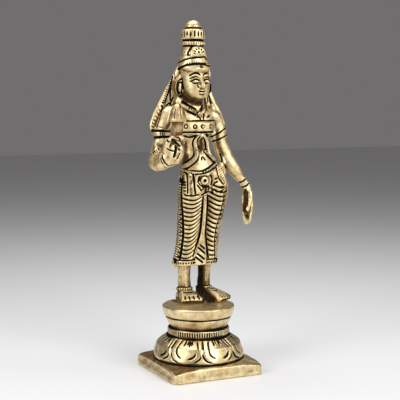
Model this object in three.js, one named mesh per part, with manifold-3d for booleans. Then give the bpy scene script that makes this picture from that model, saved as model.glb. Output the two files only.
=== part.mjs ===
// Standing goddess with a lotus bud, on a lotus plinth: two brass castings.
// Millimetres, +Z up. The origin is the centre of the plinth's underside, and she faces -Y.
import * as THREE from "three";
import { mergeVertices } from "three/addons/utils/BufferGeometryUtils.js";
import Module from "manifold-3d";

const wasm = await Module();
wasm.setup();

// Plinth, from the ground up: square slab, lotus, beaded ring, neck and flared drum
const slabSide = 49.4;
const slabHeight = 7;
const slabEdge = 0.8;
const slabEdgeDrop = 0.7;
const slabCornerDrop = 2.4;
const slabSquareness = 20;
const lotusHeight = 11.6;
const lotusMargin = 1.3;
const lotusCurl = 0.9;
const lotusShoulder = 0.68;
const petalCount = 8;
const petalTurn = 3;
const petalThickness = 0.7;
const petalGap = 1.4;
const beadRingRadius = 16;
const beadRingHeight = 4.5;
const beadCount = 32;
const beadDepth = 0.55;
const neckRecess = 1.4;
const drumHeight = 10.9;
const drumMargin = 0.9;
const drumGroove = 0.7;

// Figure: its pose and carving are in 144ths of its height, from the soles up
const figureHeight = 143.7;
const standingGap = 0.3;
const setBack = 7;
const foldsPerLeg = 16;
const foldDepth = 0.75;
const foldSag = 1.5;
const crownFlutes = 12;
const beltBosses = 5;
const braidPitch = 2.8;
const braidDepth = 0.25;
const facetTolerance = 0.13;
const slimmestFacet = 0.04;
const widestTurn = 0.6;

// What follows from those
const unit = figureHeight / 144;
const stanceReach = 17.7 * unit;
const drumTopRadius = stanceReach + drumMargin;
const drumFootRadius = beadRingRadius - neckRecess;
const lotusRadius = slabSide / 2 - lotusMargin;
const beadRingFoot = slabHeight + lotusHeight;
const drumFoot = beadRingFoot + beadRingHeight;
const drumTop = drumFoot + drumHeight;

const brass = { color: 0xc8ad6e, roughness: 0.36, metalness: 1 };
const front = new THREE.Vector3(0, -1, 0);
const up = new THREE.Vector3(0, 0, 1);

// Solids

function solid(geometry) {
  const bare = geometry.clone();
  bare.deleteAttribute("normal");
  bare.deleteAttribute("uv");
  const merged = mergeVertices(bare, 1e-4);
  const mesh = new wasm.Mesh({
    numProp: 3,
    vertProperties: new Float32Array(merged.attributes.position.array),
    triVerts: new Uint32Array(merged.index.array),
  });
  return new wasm.Manifold(mesh);
}

function join(geometries) {
  return geometries.flat().map(solid).reduce((whole, piece) => whole.add(piece));
}

function named(name, body) {
  const geometry = new Skin(body).thinned();
  geometry.computeVertexNormals();
  const mesh = new THREE.Mesh(geometry, new THREE.MeshStandardMaterial(brass));
  mesh.name = name;
  return mesh;
}

// The triangles of a solid, without the needless points and the slivers that joins leave
class Skin {
  constructor(body) {
    const { vertProperties, triVerts } = body.getMesh();
    this.points = triples(vertProperties).map((point) => new THREE.Vector3(...point));
    this.faces = triples(triVerts);
    this.touching = this.points.map(() => new Set());
    this.faces.forEach((face, i) => face.forEach((corner) => this.touching[corner].add(i)));
  }

  step(from, to) {
    return this.points[to].clone().sub(this.points[from]);
  }

  normal([a, b, c]) {
    return this.step(a, b).cross(this.step(a, c));
  }

  longestSide([a, b, c]) {
    const sides = [[a, b], [b, c], [c, a]].map((side) => this.step(...side).length());
    return sides.indexOf(Math.max(...sides));
  }

  // The least height of a face
  height(face) {
    const side = this.longestSide(face);
    return this.normal(face).length() / this.step(face[side], face[(side + 1) % 3]).length();
  }

  neighbours(point) {
    const corners = [...this.touching[point]].flatMap((i) => this.faces[i]);
    return new Set(corners.filter((other) => other !== point));
  }

  keepsShape(face, from, to) {
    if (face.includes(to)) return true;
    const moved = face.map((corner) => (corner === from ? to : corner));
    if (this.height(moved) < Math.min(slimmestFacet, this.height(face))) return false;
    const drift = Math.abs(this.normal(face).normalize().dot(this.step(from, to)));
    return drift < facetTolerance && this.facesAlike(face, moved);
  }

  facesAlike(face, other) {
    return this.normal(face).normalize().dot(this.normal(other).normalize()) > widestTurn;
  }

  canMerge(from, to) {
    const next = this.neighbours(to);
    const shared = [...this.neighbours(from)].filter((point) => next.has(point));
    const round = [...this.touching[from]].map((i) => this.faces[i]);
    return shared.length === 2 && round.every((face) => this.keepsShape(face, from, to));
  }

  mergeInto(from, to) {
    const { faces, touching } = this;
    for (const i of touching[from]) {
      const gone = faces[i].includes(to);
      if (gone) faces[i].forEach((corner) => corner !== from && touching[corner].delete(i));
      else touching[to].add(i);
      faces[i] = gone ? null : faces[i].map((corner) => (corner === from ? to : corner));
    }
    touching[from].clear();
  }

  mergePoints() {
    let count = 0;
    for (let from = 0; from < this.points.length; from++) {
      const distance = (point) => this.step(from, point).length();
      const near = [...this.neighbours(from)].sort((a, b) => distance(a) - distance(b));
      const to = near.find((point) => this.canMerge(from, point));
      if (to === undefined) continue;
      this.mergeInto(from, to);
      count++;
    }
    return count;
  }

  // A sliver shares the face across its long side, so that both get some height
  turnSide(i) {
    const { faces, touching } = this;
    const side = this.longestSide(faces[i]);
    const [from, to, apex] = [0, 1, 2].map((k) => faces[i][(side + k) % 3]);
    const j = [...touching[from]].find((other) => other !== i && touching[to].has(other));
    const far = faces[j].find((corner) => corner !== from && corner !== to);
    const [one, other] = [[apex, from, far], [apex, far, to]];
    if (this.neighbours(apex).has(far) || this.height(one) < this.height(faces[i])) return;
    if (this.height(other) < this.height(faces[i])) return;
    if (![one, other].every((face) => this.facesAlike(faces[j], face))) return;
    touching[to].delete(i);
    touching[from].delete(j);
    touching[far].add(i);
    touching[apex].add(j);
    [faces[i], faces[j]] = [one, other];
  }

  thinned() {
    do {
      this.faces.forEach((face, i) => face && this.height(face) < slimmestFacet && this.turnSide(i));
    } while (this.mergePoints());
    const kept = this.points.flatMap((_, i) => (this.touching[i].size ? [i] : []));
    const place = new Map(kept.map((point, i) => [point, i]));
    const faces = this.faces.filter(Boolean).map((face) => face.map((corner) => place.get(corner)));
    return new THREE.BufferGeometry().setFromPoints(kept.map((i) => this.points[i])).setIndex(faces.flat());
  }
}

function triples(flat) {
  return Array.from({ length: flat.length / 3 }, (_, i) => [...flat.subarray(3 * i, 3 * i + 3)]);
}

// A closed skin over rings of points, each ring with as many points as the next
function loft(rings) {
  const around = rings[0].length;
  const points = rings.flat();
  const start = points.push(middle(rings[0])) - 1;
  const end = points.push(middle(rings.at(-1))) - 1;
  const lastRing = (rings.length - 1) * around;
  const faces = [];
  for (let i = 0; i < around; i++) {
    const next = (i + 1) % around;
    for (let low = 0; low < lastRing; low += around) {
      const high = low + around;
      faces.push([low + i, low + next, high + next], [low + i, high + next, high + i]);
    }
    faces.push([start, next, i], [end, lastRing + i, lastRing + next]);
  }
  const inside = faces.reduce((sum, face) => sum + tripleProduct(...face.map((corner) => points[corner])), 0);
  const outward = faces.flatMap(([a, b, c]) => (inside < 0 ? [a, c, b] : [a, b, c]));
  return new THREE.BufferGeometry().setFromPoints(points).setIndex(outward);
}

function middle(ring) {
  return ring.reduce((sum, point) => sum.add(point), new THREE.Vector3()).divideScalar(ring.length);
}

function tripleProduct(a, b, c) {
  return new THREE.Vector3().crossVectors(b, c).dot(a);
}

// Smooth values between the rows of a table whose first column rises
function smoothTable(rows) {
  const size = rows[0].length - 1;
  const keys = rows.map((row) => row[0]);
  const curve = new THREE.CubicInterpolant(keys, rows.flatMap((row) => row.slice(1)), size);
  return (key) => [...curve.evaluate(key)];
}

// One level ring of the body: turn 0 is its front, and lift moves each point up or down
function level(z, [x, y, halfWidth, halfDepth], sides, lift = () => 0) {
  return Array.from({ length: sides }, (_, i) => {
    const turn = (i / sides) * 2 * Math.PI;
    const [across, deep] = [x + halfWidth * Math.sin(turn), y - halfDepth * Math.cos(turn)];
    return new THREE.Vector3(across, deep, z + lift(turn)).multiplyScalar(unit);
  });
}

// Level rings up a table of [z, x, y, half width, half depth]
function stack(rows, sides, steps) {
  const shape = smoothTable(rows);
  const [low, high] = [rows[0][0], rows.at(-1)[0]];
  const even = Array.from({ length: steps + 1 }, (_, i) => THREE.MathUtils.lerp(low, high, i / steps));
  return loft(even.map((z) => level(z, shape(z), sides)));
}

// Rings square to a path of [x, y, z, half width, half depth]; ribs narrow every second ring
function limb(stations, sides, steps = stations.length - 1, facing = front, ribs = 0) {
  const shape = smoothTable(stations.map((station, i) => [i, ...station]));
  const place = (t) => new THREE.Vector3(...shape(THREE.MathUtils.clamp(t, 0, stations.length - 1)));
  const rings = Array.from({ length: steps + 1 }, (_, i) => {
    const t = (i / steps) * (stations.length - 1);
    const [, , , halfWidth, halfDepth] = shape(t);
    const along = place(t + 0.1).sub(place(t - 0.1)).normalize();
    const side = new THREE.Vector3().crossVectors(along, facing).normalize();
    const out = new THREE.Vector3().crossVectors(side, along);
    const swell = i % 2 ? 1 : 1 - ribs;
    return Array.from({ length: sides }, (_, k) => {
      const turn = ((k + 0.5) / sides) * 2 * Math.PI;
      return place(t)
        .addScaledVector(side, halfWidth * swell * Math.sin(turn))
        .addScaledVector(out, halfDepth * swell * Math.cos(turn))
        .multiplyScalar(unit);
    });
  });
  return loft(rings);
}

// A ribbed cord or ribbon through [x, y, z] points
function braid(points, halfWidth, halfDepth, facing = front) {
  const route = new THREE.CatmullRomCurve3(points.map((point) => new THREE.Vector3(...point)));
  const steps = 2 * Math.max(2, Math.round(route.getLength() / braidPitch));
  const corner = [halfWidth * Math.SQRT2, halfDepth * Math.SQRT2];
  return limb(points.map((point) => [...point, ...corner]), 4, steps, facing, braidDepth);
}

function ball(x, y, z, across, deep = across, tall = across, sides = 6) {
  const geometry = new THREE.SphereGeometry(unit, sides, sides / 2).rotateX(Math.PI / 2);
  return geometry.scale(across, deep, tall).translate(x * unit, y * unit, z * unit);
}

function hoop(x, y, z, radius, thickness, spin = 0) {
  const geometry = new THREE.TorusGeometry(radius * unit, thickness * unit, 5, 10);
  return geometry.rotateY(Math.PI / 2).rotateZ(spin).translate(x * unit, y * unit, z * unit);
}

// A raised band round the body that dips by `dip` at the front
function belt(body, z, height, proud, dip, sides = 18) {
  const lift = (turn) => -dip * Math.cos(turn);
  const ring = (offset, extra) => {
    const [x, y, halfWidth, halfDepth] = body(z + offset);
    return level(z + offset, [x, y, halfWidth + extra, halfDepth + extra], sides, lift);
  };
  const half = height / 2;
  return loft([ring(-half, proud / 3), ring(0, proud), ring(half, proud / 3)]);
}

// Plinth

function lotusOutline(height) {
  const share = THREE.MathUtils.clamp(height / lotusHeight, 0, 1);
  const crease = lotusRadius - 0.28 * (lotusRadius - beadRingRadius);
  const turns = [[0, lotusRadius - lotusCurl], [0.1, lotusRadius], [lotusShoulder, crease], [1, beadRingRadius]];
  const next = Math.max(1, turns.findIndex(([at]) => at >= share));
  const [[from, start], [to, end]] = [turns[next - 1], turns[next]];
  return THREE.MathUtils.mapLinear(share, from, to, start, end);
}

// The slab's outline is a square with slightly rounded corners, and its top falls towards them
function slab() {
  const half = slabSide / 2;
  const places = [-1, -0.95, -0.86, -0.6, -0.25, 0.25, 0.6, 0.86, 0.95];
  const ring = (inset, heightUnder) =>
    [0, 1, 2, 3].flatMap((side) => places.map((place) => {
      const reach = (1 + Math.abs(place) ** slabSquareness) ** (-1 / slabSquareness);
      const top = slabHeight - THREE.MathUtils.lerp(slabEdgeDrop, slabCornerDrop, place ** 4);
      const spot = new THREE.Vector3(place * reach, -reach, 0).multiplyScalar(half - inset);
      return spot.setZ(heightUnder(top)).applyAxisAngle(up, (side * Math.PI) / 2);
    }));
  const footRadius = lotusRadius - lotusCurl;
  const shelf = ring(0, () => slabHeight).map((spot) => spot.setZ(0).setLength(footRadius).setZ(slabHeight));
  return solid(loft([
    ring(0.3, () => 0),
    ring(0, () => slabEdge),
    ring(0, (top) => top - slabEdge),
    ring(slabEdge, (top) => top),
    shelf,
  ]));
}

function lathe(outline, sides = 36) {
  const points = outline.map(([radius, z]) => new THREE.Vector2(radius, z));
  return new THREE.LatheGeometry(points, sides).rotateX(Math.PI / 2);
}

function lotusDome() {
  const sink = slabHeight / 2;
  const heights = [0, 0.1, lotusShoulder, 1].map((share) => share * lotusHeight);
  const wall = heights.map((height) => [lotusOutline(height) - petalThickness / 2, slabHeight + height]);
  const base = [[0, sink], [lotusRadius - lotusCurl - petalThickness, sink]];
  return lathe([...base, ...wall, [0, slabHeight + lotusHeight]]);
}

// A petal is a raised tongue on the dome, square at the bead ring and round at the slab
function petal(index) {
  const bearing = (index / petalCount) * 2 * Math.PI + THREE.MathUtils.degToRad(petalTurn);
  const across = [-1, -0.7, 0.7, 1];
  const rise = [-0.6, 0.5, 0.5, -0.6];
  const rings = [0.04, 0.12, 0.3, lotusShoulder, 0.99].map((share) => {
    const height = share * lotusHeight;
    const radius = lotusOutline(height);
    const fullAngle = Math.PI / petalCount - petalGap / 2 / lotusRadius;
    const halfAngle = fullAngle * Math.sqrt(1 - (1 - Math.min(1, share / 0.4)) ** 2);
    const point = (side, r) => {
      const turn = bearing + side * halfAngle;
      return new THREE.Vector3(r * Math.sin(turn), -r * Math.cos(turn), slabHeight + height);
    };
    const skin = across.map((side, i) => point(side, radius + rise[i] * petalThickness));
    return [...skin, point(1, radius - 3 * petalThickness), point(-1, radius - 3 * petalThickness)];
  });
  return loft(rings);
}

function beadRing() {
  const count = beadCount * 2;
  const ring = (z, inset) =>
    Array.from({ length: count }, (_, i) => {
      const turn = (i / count) * 2 * Math.PI;
      const radius = beadRingRadius - inset - (i % 2 ? beadDepth : 0);
      return new THREE.Vector3(radius * Math.sin(turn), -radius * Math.cos(turn), z);
    });
  const overlap = 0.4;
  const [low, high] = [beadRingFoot - overlap, drumFoot];
  return loft([ring(low, 0.6), ring(low + 1, 0), ring(high - 1, 0), ring(high, 0.6)]);
}

function drum() {
  const groove = drumFoot + drumHeight * 0.42;
  const wallAt = (z) => {
    const share = (z - drumFoot) / drumHeight;
    return drumFootRadius + (drumTopRadius - drumFootRadius) * Math.sin((share * Math.PI) / 2);
  };
  const grooveDepth = drumGroove * 0.7;
  const outline = [
    [0, drumFoot - beadRingHeight / 2],
    [drumFootRadius, drumFoot - beadRingHeight / 2],
    [drumFootRadius, drumFoot],
    [wallAt(groove - drumGroove), groove - drumGroove],
    [wallAt(groove) - grooveDepth, groove],
    [wallAt(groove + drumGroove), groove + drumGroove],
    [wallAt(drumFoot + drumHeight * 0.75), drumFoot + drumHeight * 0.75],
    [drumTopRadius, drumTop - 0.6],
    [drumTopRadius - 0.6, drumTop],
    [0, drumTop],
  ];
  return lathe(outline);
}

function lotusPlinth() {
  const petals = Array.from({ length: petalCount }, (_, i) => petal(i));
  return slab().add(join([lotusDome(), petals, beadRing(), drum()]));
}

// Figure: body and dress

const body = smoothTable([
  [46, 5.4, 0.7, 12.2, 7.4],
  [52, 5.9, 0.5, 12.9, 8.2],
  [57, 6.2, 0.3, 13.4, 8.7],
  [62, 5.9, 0, 13.2, 8.9],
  [66, 5, -0.2, 12.1, 8.5],
  [70, 3.9, -0.2, 10.3, 7.6],
  [74, 3, -0.2, 8.4, 6.3],
  [79, 1.9, -0.1, 6.9, 5.3],
  [83, 1.5, 0, 7.1, 5.3],
  [86.5, 1.3, 0, 8, 5.7],
  [90, 1.2, 0, 9, 6.1],
  [94, 1.1, 0.2, 10.2, 6],
  [97.5, 1, 0.6, 11, 5.2],
  [100, 0.9, 0.9, 8.6, 4.5],
  [102, 1, 0.9, 5.8, 4.2],
  [104, 1.1, 0.6, 5, 4.3],
  [110, 1.2, 0.3, 5, 4.5],
]);

function torso() {
  const heights = [48, 54, 59, 64, 69, 74, 79, 84, 90, 94, 97, 99.5, 102, 108];
  const trunk = loft(heights.map((z) => level(z, body(z), 16)));
  const breasts = [-3, 5.2].map((x) => ball(x, -3.2, 90.3, 4.1, 3.9, 4.2, 8));
  return [trunk, breasts];
}

function skirtLeg(rows, inner) {
  const shape = smoothTable(rows);
  const [hem, top] = [rows[0][0], rows.at(-1)[0]];
  const sag = (turn) => foldSag * (0.5 * inner * Math.sin(turn) - Math.cos(turn) ** 2);
  const ring = (share, inset) => {
    const z = THREE.MathUtils.lerp(top, hem, share);
    const [x, y, halfWidth, halfDepth] = shape(z);
    const nearHem = 1 - THREE.MathUtils.smoothstep(share, 0.85, 1);
    return level(z, [x, y, halfWidth - inset, halfDepth - inset], 12, (turn) => sag(turn) * nearHem);
  };
  const folds = Array.from({ length: foldsPerLeg }, (_, i) => i / foldsPerLeg);
  const pitch = 1 / foldsPerLeg;
  const valley = (share) => ring(share + pitch * 0.08, foldDepth);
  const ridge = (share) => ring(share + pitch * 0.85, 0);
  return loft([...folds.flatMap((share) => [valley(share), ridge(share)]), ring(1, 0.3)]);
}

function skirt() {
  const rightLeg = skirtLeg([
    [20.6, -5, -0.6, 5.6, 5.6],
    [30, -3.8, -0.8, 5.6, 6.1],
    [40, -2.6, -0.8, 6.1, 6.5],
    [50, -1.2, -0.6, 6.9, 7.2],
    [61, 0.8, -0.4, 7.9, 9],
  ], 1);
  const leftLeg = skirtLeg([
    [20.6, 8.2, 0, 4.9, 5.4],
    [30, 8.9, -0.2, 5, 5.9],
    [40, 10.2, -0.4, 5.8, 6.5],
    [50, 11.8, -0.4, 6.6, 7.2],
    [61, 12.2, -0.4, 7.2, 8.7],
  ], -1);
  const between = stack([
    [20.4, 1.6, 1.4, 7, 4.4],
    [36, 3.2, 1, 7.4, 5],
    [56, 5.4, 0.6, 9, 6.6],
  ], 8, 2);
  const fan = limb([
    [3.1, -5.4, 38, 0.9, 1],
    [2.9, -5.4, 31, 2, 1.1],
    [2.5, -5.2, 25, 3.3, 1.1],
    [2, -4.8, 19.4, 3.9, 1],
  ], 4, 6, front, 0.12);
  const strap = braid([[3.3, -7, 56], [3.4, -6.6, 50], [3.4, -6.2, 44], [3.2, -5.8, 37]], 1, 1.2);
  const backPleat = braid([[5, 7.2, 58], [4.4, 6.8, 48], [3.4, 6.4, 34], [2.4, 6.2, 21]], 1.6, 1.2);
  return [rightLeg, leftLeg, between, fan, strap, backPleat];
}

function sideBorders() {
  const right = [
    [-7.6, 0.6, 64],
    [-8.1, 0.8, 54],
    [-8.7, 0.6, 44],
    [-9.3, 0.4, 34],
    [-10.6, 0.4, 26],
    [-11.8, 0.4, 19.4],
  ];
  const left = [[19, 0.2, 64], [19.4, 0, 54], [17, 0, 44], [15, 0.2, 34], [13.8, 0.4, 26], [13.2, 0.4, 20]];
  const side = new THREE.Vector3(1, 0, 0);
  return [braid(right, 2.2, 1, side), braid(left, 2, 1, side)];
}

function legsAndFeet() {
  const legs = [[-2.9, -4], [8.2, 7.9]].map(([ankle, shin]) => {
    const lean = (shin - ankle) / 2;
    return limb([
      [ankle, 4.1, 3, 3.6, 3.8],
      [ankle, 4, 7, 3.4, 3.5],
      [ankle + lean, 3, 14, 3.4, 3.5],
      [shin, 1.8, 26, 3.7, 3.7],
    ], 8);
  });
  const anklets = [-2.9, 8.2].map((x) => cuff([[x, 4, 6.4], [x, 4, 7.4], [x, 4, 8.4]], [3.9, 4.4, 3.9]));
  return [
    legs,
    foot([-3.2, 8.4], [-1.2, -3.6], 3.4, 5.2),
    foot([8.2, 8.4], [14.4, -7.9], 3.4, 3.7),
    anklets,
  ];
}

// A round band on a limb: points along it, and a radius at each
function cuff(points, radii, facing = front) {
  return limb(points.map((point, i) => [...point, radii[i], radii[i]]), 8, points.length - 1, facing);
}

// A foot from heel to toes, flat below, with five toes across its front
function foot(heel, toes, heelHalf, toeHalf) {
  const [from, to] = [new THREE.Vector3(...heel, 0), new THREE.Vector3(...toes, 0)];
  const along = to.clone().sub(from).normalize();
  const side = new THREE.Vector3().crossVectors(along, up);
  const shares = [0, 0.12, 0.35, 0.6, 0.85, 0.95];
  const heights = [3, 5.4, 7.6, 5.2, 3.1, 2.3];
  const rings = shares.map((share, i) => {
    const half = THREE.MathUtils.lerp(heelHalf, toeHalf, share) * (i === 0 ? 0.7 : 1);
    const outline = [[-1, 0], [-1, 0.45], [-0.7, 0.85], [0, 1], [0.7, 0.85], [1, 0.45], [1, 0]];
    return outline.map(([s, h]) => from.clone().lerp(to, share).addScaledVector(side, s * half)
      .add(new THREE.Vector3(0, 0, h * heights[i])).multiplyScalar(unit));
  });
  const toeBalls = [-0.8, -0.4, 0, 0.4, 0.8].map((s) => {
    const spot = from.clone().lerp(to, 0.93).addScaledVector(side, s * toeHalf);
    return ball(spot.x, spot.y, 1.15, toeHalf * 0.23, 1.3, 1.15);
  });
  return [loft(rings), toeBalls];
}

// Figure: arms and what they hold

function rightArm() {
  const upper = limb([
    [-8.5, 1, 97.8, 3.6, 3.6],
    [-12.3, 0.8, 97.4, 4.2, 4],
    [-15.4, -0.2, 92.4, 4.1, 4],
    [-17.8, -1.2, 87, 3.8, 3.8],
    [-20, -2.2, 80.5, 3.8, 3.8],
    [-21.6, -3, 74, 4.4, 4.3],
    [-22, -3.8, 70.8, 3, 3],
  ], 8, 8);
  const lower = limb([
    [-21.2, -2, 74.4, 3.4, 3.4],
    [-22.2, -5.4, 73.4, 4.5, 4.5],
    [-22.3, -9.4, 74, 3.8, 3.8],
    [-21.2, -12.8, 74.9, 3.2, 3.4],
    [-19.4, -14.8, 76.3, 2.8, 3.6],
  ], 8, 6, up);
  const wrist = [[-22.2, -10.6, 74.2], [-21.8, -11.6, 74.5], [-21.3, -12.6, 74.8]];
  const bandPoints = [88.9, 88.2, 86.4, 85.6].map((z) => [-17.2 - (88.9 - z) * 0.32, -1.1, z]);
  const bands = [cuff(wrist, [3.7, 4.1, 3.7], up), cuff(bandPoints, [4.2, 4.7, 4.7, 4.2])];
  return [upper, lower, bands, raisedHand(), lotusBud()];
}

function raisedHand() {
  const palm = ball(-17.6, -15, 77.2, 3.4, 2.8, 5, 8);
  const fingers = [0, 0.6, 0.7, 0.1].map((reach, i) => {
    const z = 74.2 + i * 2.5;
    return limb([
      [-18.4, -16.6, z - 0.6, 1.1, 1.1],
      [-15.4, -18.4 - reach / 2, z, 1.25, 1.2],
      [-12.6 + reach, -17.4, z + 0.4, 1.2, 1.2],
      [-12.3 + reach, -14.8, z + 0.3, 1, 1],
    ], 5, 4, up);
  });
  const thumb = limb([
    [-20.4, -15.4, 76.6, 1.5, 1.5],
    [-19.8, -17.4, 80.4, 1.3, 1.3],
    [-17.6, -17.6, 83.8, 1, 1],
  ], 5, 3);
  return [palm, fingers, thumb];
}

function lotusBud() {
  const stem = [[82, 1.9], [86, 2.2], [90.4, 2.4], [92.6, 3]];
  const flower = [[93.6, 4.3], [95.6, 4.2], [98.6, 3.5], [101.4, 2.2], [103.2, 1]];
  const rings = [...stem, ...flower].map(([z, radius]) => level(z, [-15.2, -15, radius, radius], 10));
  const root = limb([[-15.9, -15.4, 74, 1.6, 1.6], [-15.2, -15, 84, 1.8, 1.8]], 6, 1);
  const backing = limb([
    [-15.2, -12.4, 82, 1.6, 2],
    [-15, -12.2, 90, 1.8, 2.2],
    [-14.6, -11.6, 98, 1.4, 1.6],
  ], 6, 2);
  return [loft(rings), root, backing, ball(-15.2, -15, 103.7, 1.35, 1.35, 1.3)];
}

function leftArm() {
  const arm = limb([
    [9, 1, 96.6, 3.6, 3.6],
    [12, 1, 95.6, 4, 4],
    [14.2, 0.8, 91.4, 3.4, 3.5],
    [15.5, 0.8, 86.6, 3.1, 3.2],
    [17.2, 0.9, 80.4, 3.3, 3.3],
    [20.6, 0.2, 73, 3.1, 3.1],
    [24.2, -1.6, 67, 2.7, 2.7],
    [27, -3.2, 62.2, 2.4, 2.3],
    [28.7, -4, 58, 2.9, 2],
    [29.4, -4.6, 53.4, 3.3, 1.9],
    [29.5, -4.9, 49.8, 3, 1.7],
  ], 8, 12);
  const fingers = [42.2, 39.6, 39.4, 41.4].map((tip, i) => {
    const x = 26.9 + i * 1.7;
    const gathered = 29.2 + (x - 29.2) * 0.6;
    return limb([
      [x, -4.9, 51.4, 1, 1.2],
      [x + 0.2, -5.4, 46.6, 0.95, 1.1],
      [gathered, -5.6, tip, 0.7, 0.8],
    ], 5, 2);
  });
  const thumb = limb([
    [27.2, -5, 56.6, 1.2, 1.2],
    [26, -7, 52.6, 1.1, 1.1],
    [26.6, -7.6, 48, 0.8, 0.8],
  ], 5, 2);
  const bangles = [[25.6, -2.4, 64.8], [26.8, -3, 62.6]].map(([x, y, z]) =>
    cuff([[x - 0.5, y + 0.3, z + 0.8], [x + 0.3, y - 0.1, z - 0.5]], [3.1, 3.1]));
  const armletPoints = [[14.8, 0.8, 89.6], [15, 0.8, 88.8], [15.7, 0.8, 86], [15.9, 0.8, 85.2]];
  return [arm, fingers, thumb, bangles, cuff(armletPoints, [3.4, 3.9, 3.8, 3.3])];
}

// Figure: head and crown

function head() {
  const skull = stack([
    [104.6, 1.7, -3.8, 2.4, 2],
    [105.8, 1.7, -3, 4.7, 4],
    [108.4, 1.6, -1.6, 6.5, 6.2],
    [112, 1.4, -0.5, 7.3, 7.5],
    [115.5, 1.2, 0, 7.5, 8],
    [120, 0.8, 0, 7.5, 8],
    [126, 0.3, -0.4, 6.9, 7.2],
  ], 14, 7);
  const nose = limb([
    [1.4, -7.2, 116.6, 0.9, 0.9],
    [1.7, -8.4, 113, 1, 1.2],
    [1.8, -8.9, 111.2, 1.5, 1.2],
    [1.8, -7.2, 110.2, 1, 0.6],
  ], 6);
  const eyes = [-1.6, 4.6].map((x) => ball(x, -6.5, 114.5, 2, 1.2, 1.1));
  const brows = [-1.8, 4.8].map((x) => ball(x, -6.7, 116.4, 2.4, 1.1, 0.7));
  const mouth = [ball(1.8, -6.8, 108.7, 1.9, 1.2, 0.55), ball(1.8, -6.6, 107.7, 1.5, 1.1, 0.65)];
  const ears = [-1, 1].map((side) => ball(1.1 + side * 7.6, 0.8, 112.6, 1, 2, 3.2));
  const earrings = [-1, 1].map((side) => hoop(1.1 + side * 8.1, 0.2, 108, 2, 0.75));
  const leaves = [-1, 1].map((side) => ball(1 + side * 8.2, 1.4, 118.4, 1, 1.8, 2.6));
  return [skull, nose, eyes, brows, mouth, ears, earrings, leaves];
}

function crown() {
  const fluted = (z, radius, depth) => {
    const sides = crownFlutes * 2;
    const plain = level(z, [-0.1, -1, radius, radius], sides);
    const inner = level(z, [-0.1, -1, radius - depth, radius - depth], sides);
    return plain.map((point, i) => (i % 2 ? inner[i] : point));
  };
  const wall = [[121, 7.3], [125.4, 6.9], [130.9, 5.4], [131.5, 6.4], [133, 6.4], [133.9, 5.1]];
  const bulb = [[133.8, 5.2], [135.2, 6.3], [138.6, 6.3], [140, 4.4]];
  const dome = [[139.8, 3.8], [141, 4.2], [142.8, 3], [144, 0.5]];
  const plain = (rows) => loft(rows.map(([z, radius]) => level(z, [-0.1, -1, radius, radius], 16)));
  const medallion = limb([
    [0.3, -7.6, 125.2, 4, 1.2],
    [0.2, -7.2, 127.6, 3.9, 1.2],
    [0, -6.5, 130.2, 2.4, 1.2],
    [0, -6.2, 131.8, 0.6, 1],
  ], 6);
  const fillet = belt(() => [0.7, -0.3, 7.6, 8], 121.4, 2.6, 0.9, -2.2);
  const ribbedBulb = loft(bulb.map(([z, radius]) => fluted(z, radius, 0.5)));
  return [plain(wall), ribbedBulb, plain(dome), medallion, fillet];
}

function hairRibbons() {
  const right = [
    [-8, 3, 117.5],
    [-10, 3.2, 113.4],
    [-12.9, 3.2, 108],
    [-16.1, 3, 101.6],
    [-19.6, 2.4, 94.4],
    [-21, 1.6, 88.4],
  ];
  const left = [
    [9.8, 3, 114],
    [11, 3.2, 108.4],
    [13.2, 3.2, 103.2],
    [15.6, 2.8, 98.6],
    [18, 2, 92.4],
    [18.4, 1.6, 88.8],
  ];
  const drops = [[-8.4, 101], [10.6, 99.6]].map(([x, z]) => ball(x, -0.4, z, 1.6, 1.6, 2.4));
  const bunBack = ball(0.6, 6.4, 114, 4.6, 3.4, 5.4, 8);
  const fall = stack([
    [96.5, 0.6, 3.4, 13.6, 1.9],
    [101, 0.6, 3.6, 13, 2.4],
    [106, 0.8, 3.4, 10.6, 3],
    [112, 1, 3, 8.6, 4.2],
    [117, 1, 2.6, 7.6, 5],
  ], 12, 4);
  return [braid(right, 1.5, 1), braid(left, 1.5, 1), drops, bunBack, fall];
}

// Figure: what is raised on the body

function onFront(x, z, proud = 0) {
  const [middleX, middleY, halfWidth, halfDepth] = body(z);
  const share = THREE.MathUtils.clamp((x - middleX) / halfWidth, -0.97, 0.97);
  return [x, middleY - (halfDepth + proud) * Math.sqrt(1 - share ** 2), z];
}

function ornaments() {
  const bodice = belt(body, 90.6, 5.2, 1.5, 0.1);
  const underline = belt(body, 86.9, 0.9, 0.7, 0.3);
  const bosses = Array.from({ length: beltBosses }, (_, i) => {
    const [x, y, z] = onFront(-5.6 + (i * 13.6) / (beltBosses - 1), 90.6, 1.4);
    return ball(x, y, z, 0.9, 0.7, 0.9);
  });
  const girdle = belt(body, 70, 1.9, 0.9, 2.2);
  const rightRope = [[1.4, 85.8], [-0.9, 83.8], [-1.5, 80.6], [-0.9, 77.2], [-2.6, 73.6], [-4.8, 70.8]];
  const leftRope = [[2, 85.8], [4.6, 84.2], [6.1, 81.4], [6.4, 78.2], [8, 75.4], [9.8, 73.4]];
  const ropes = [rightRope, leftRope].map((rope) => braid(rope.map(([x, z]) => onFront(x, z, 0.7)), 1, 0.9));
  const necklace = belt(() => [1.1, 0.5, 6, 5], 101.4, 1.6, 0.6, 2.2, 14);
  const strings = [-1, 1].map((side) => {
    const drape = [[4.6, -2.6, 101], [3.4, -4.2, 98.8], [1.4, -5, 97.2]];
    return braid(drape.map(([across, y, z]) => [1.5 + side * across, y, z]), 0.7, 0.7);
  });
  const pendant = limb([[1.5, -5.6, 94.2, 1, 1], [1.5, -5.2, 96.2, 1.7, 1.2], [1.5, -4.4, 98.4, 1, 1]], 6);
  return [bodice, underline, bosses, girdle, ropes, necklace, strings, pendant, sashes()];
}

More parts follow.
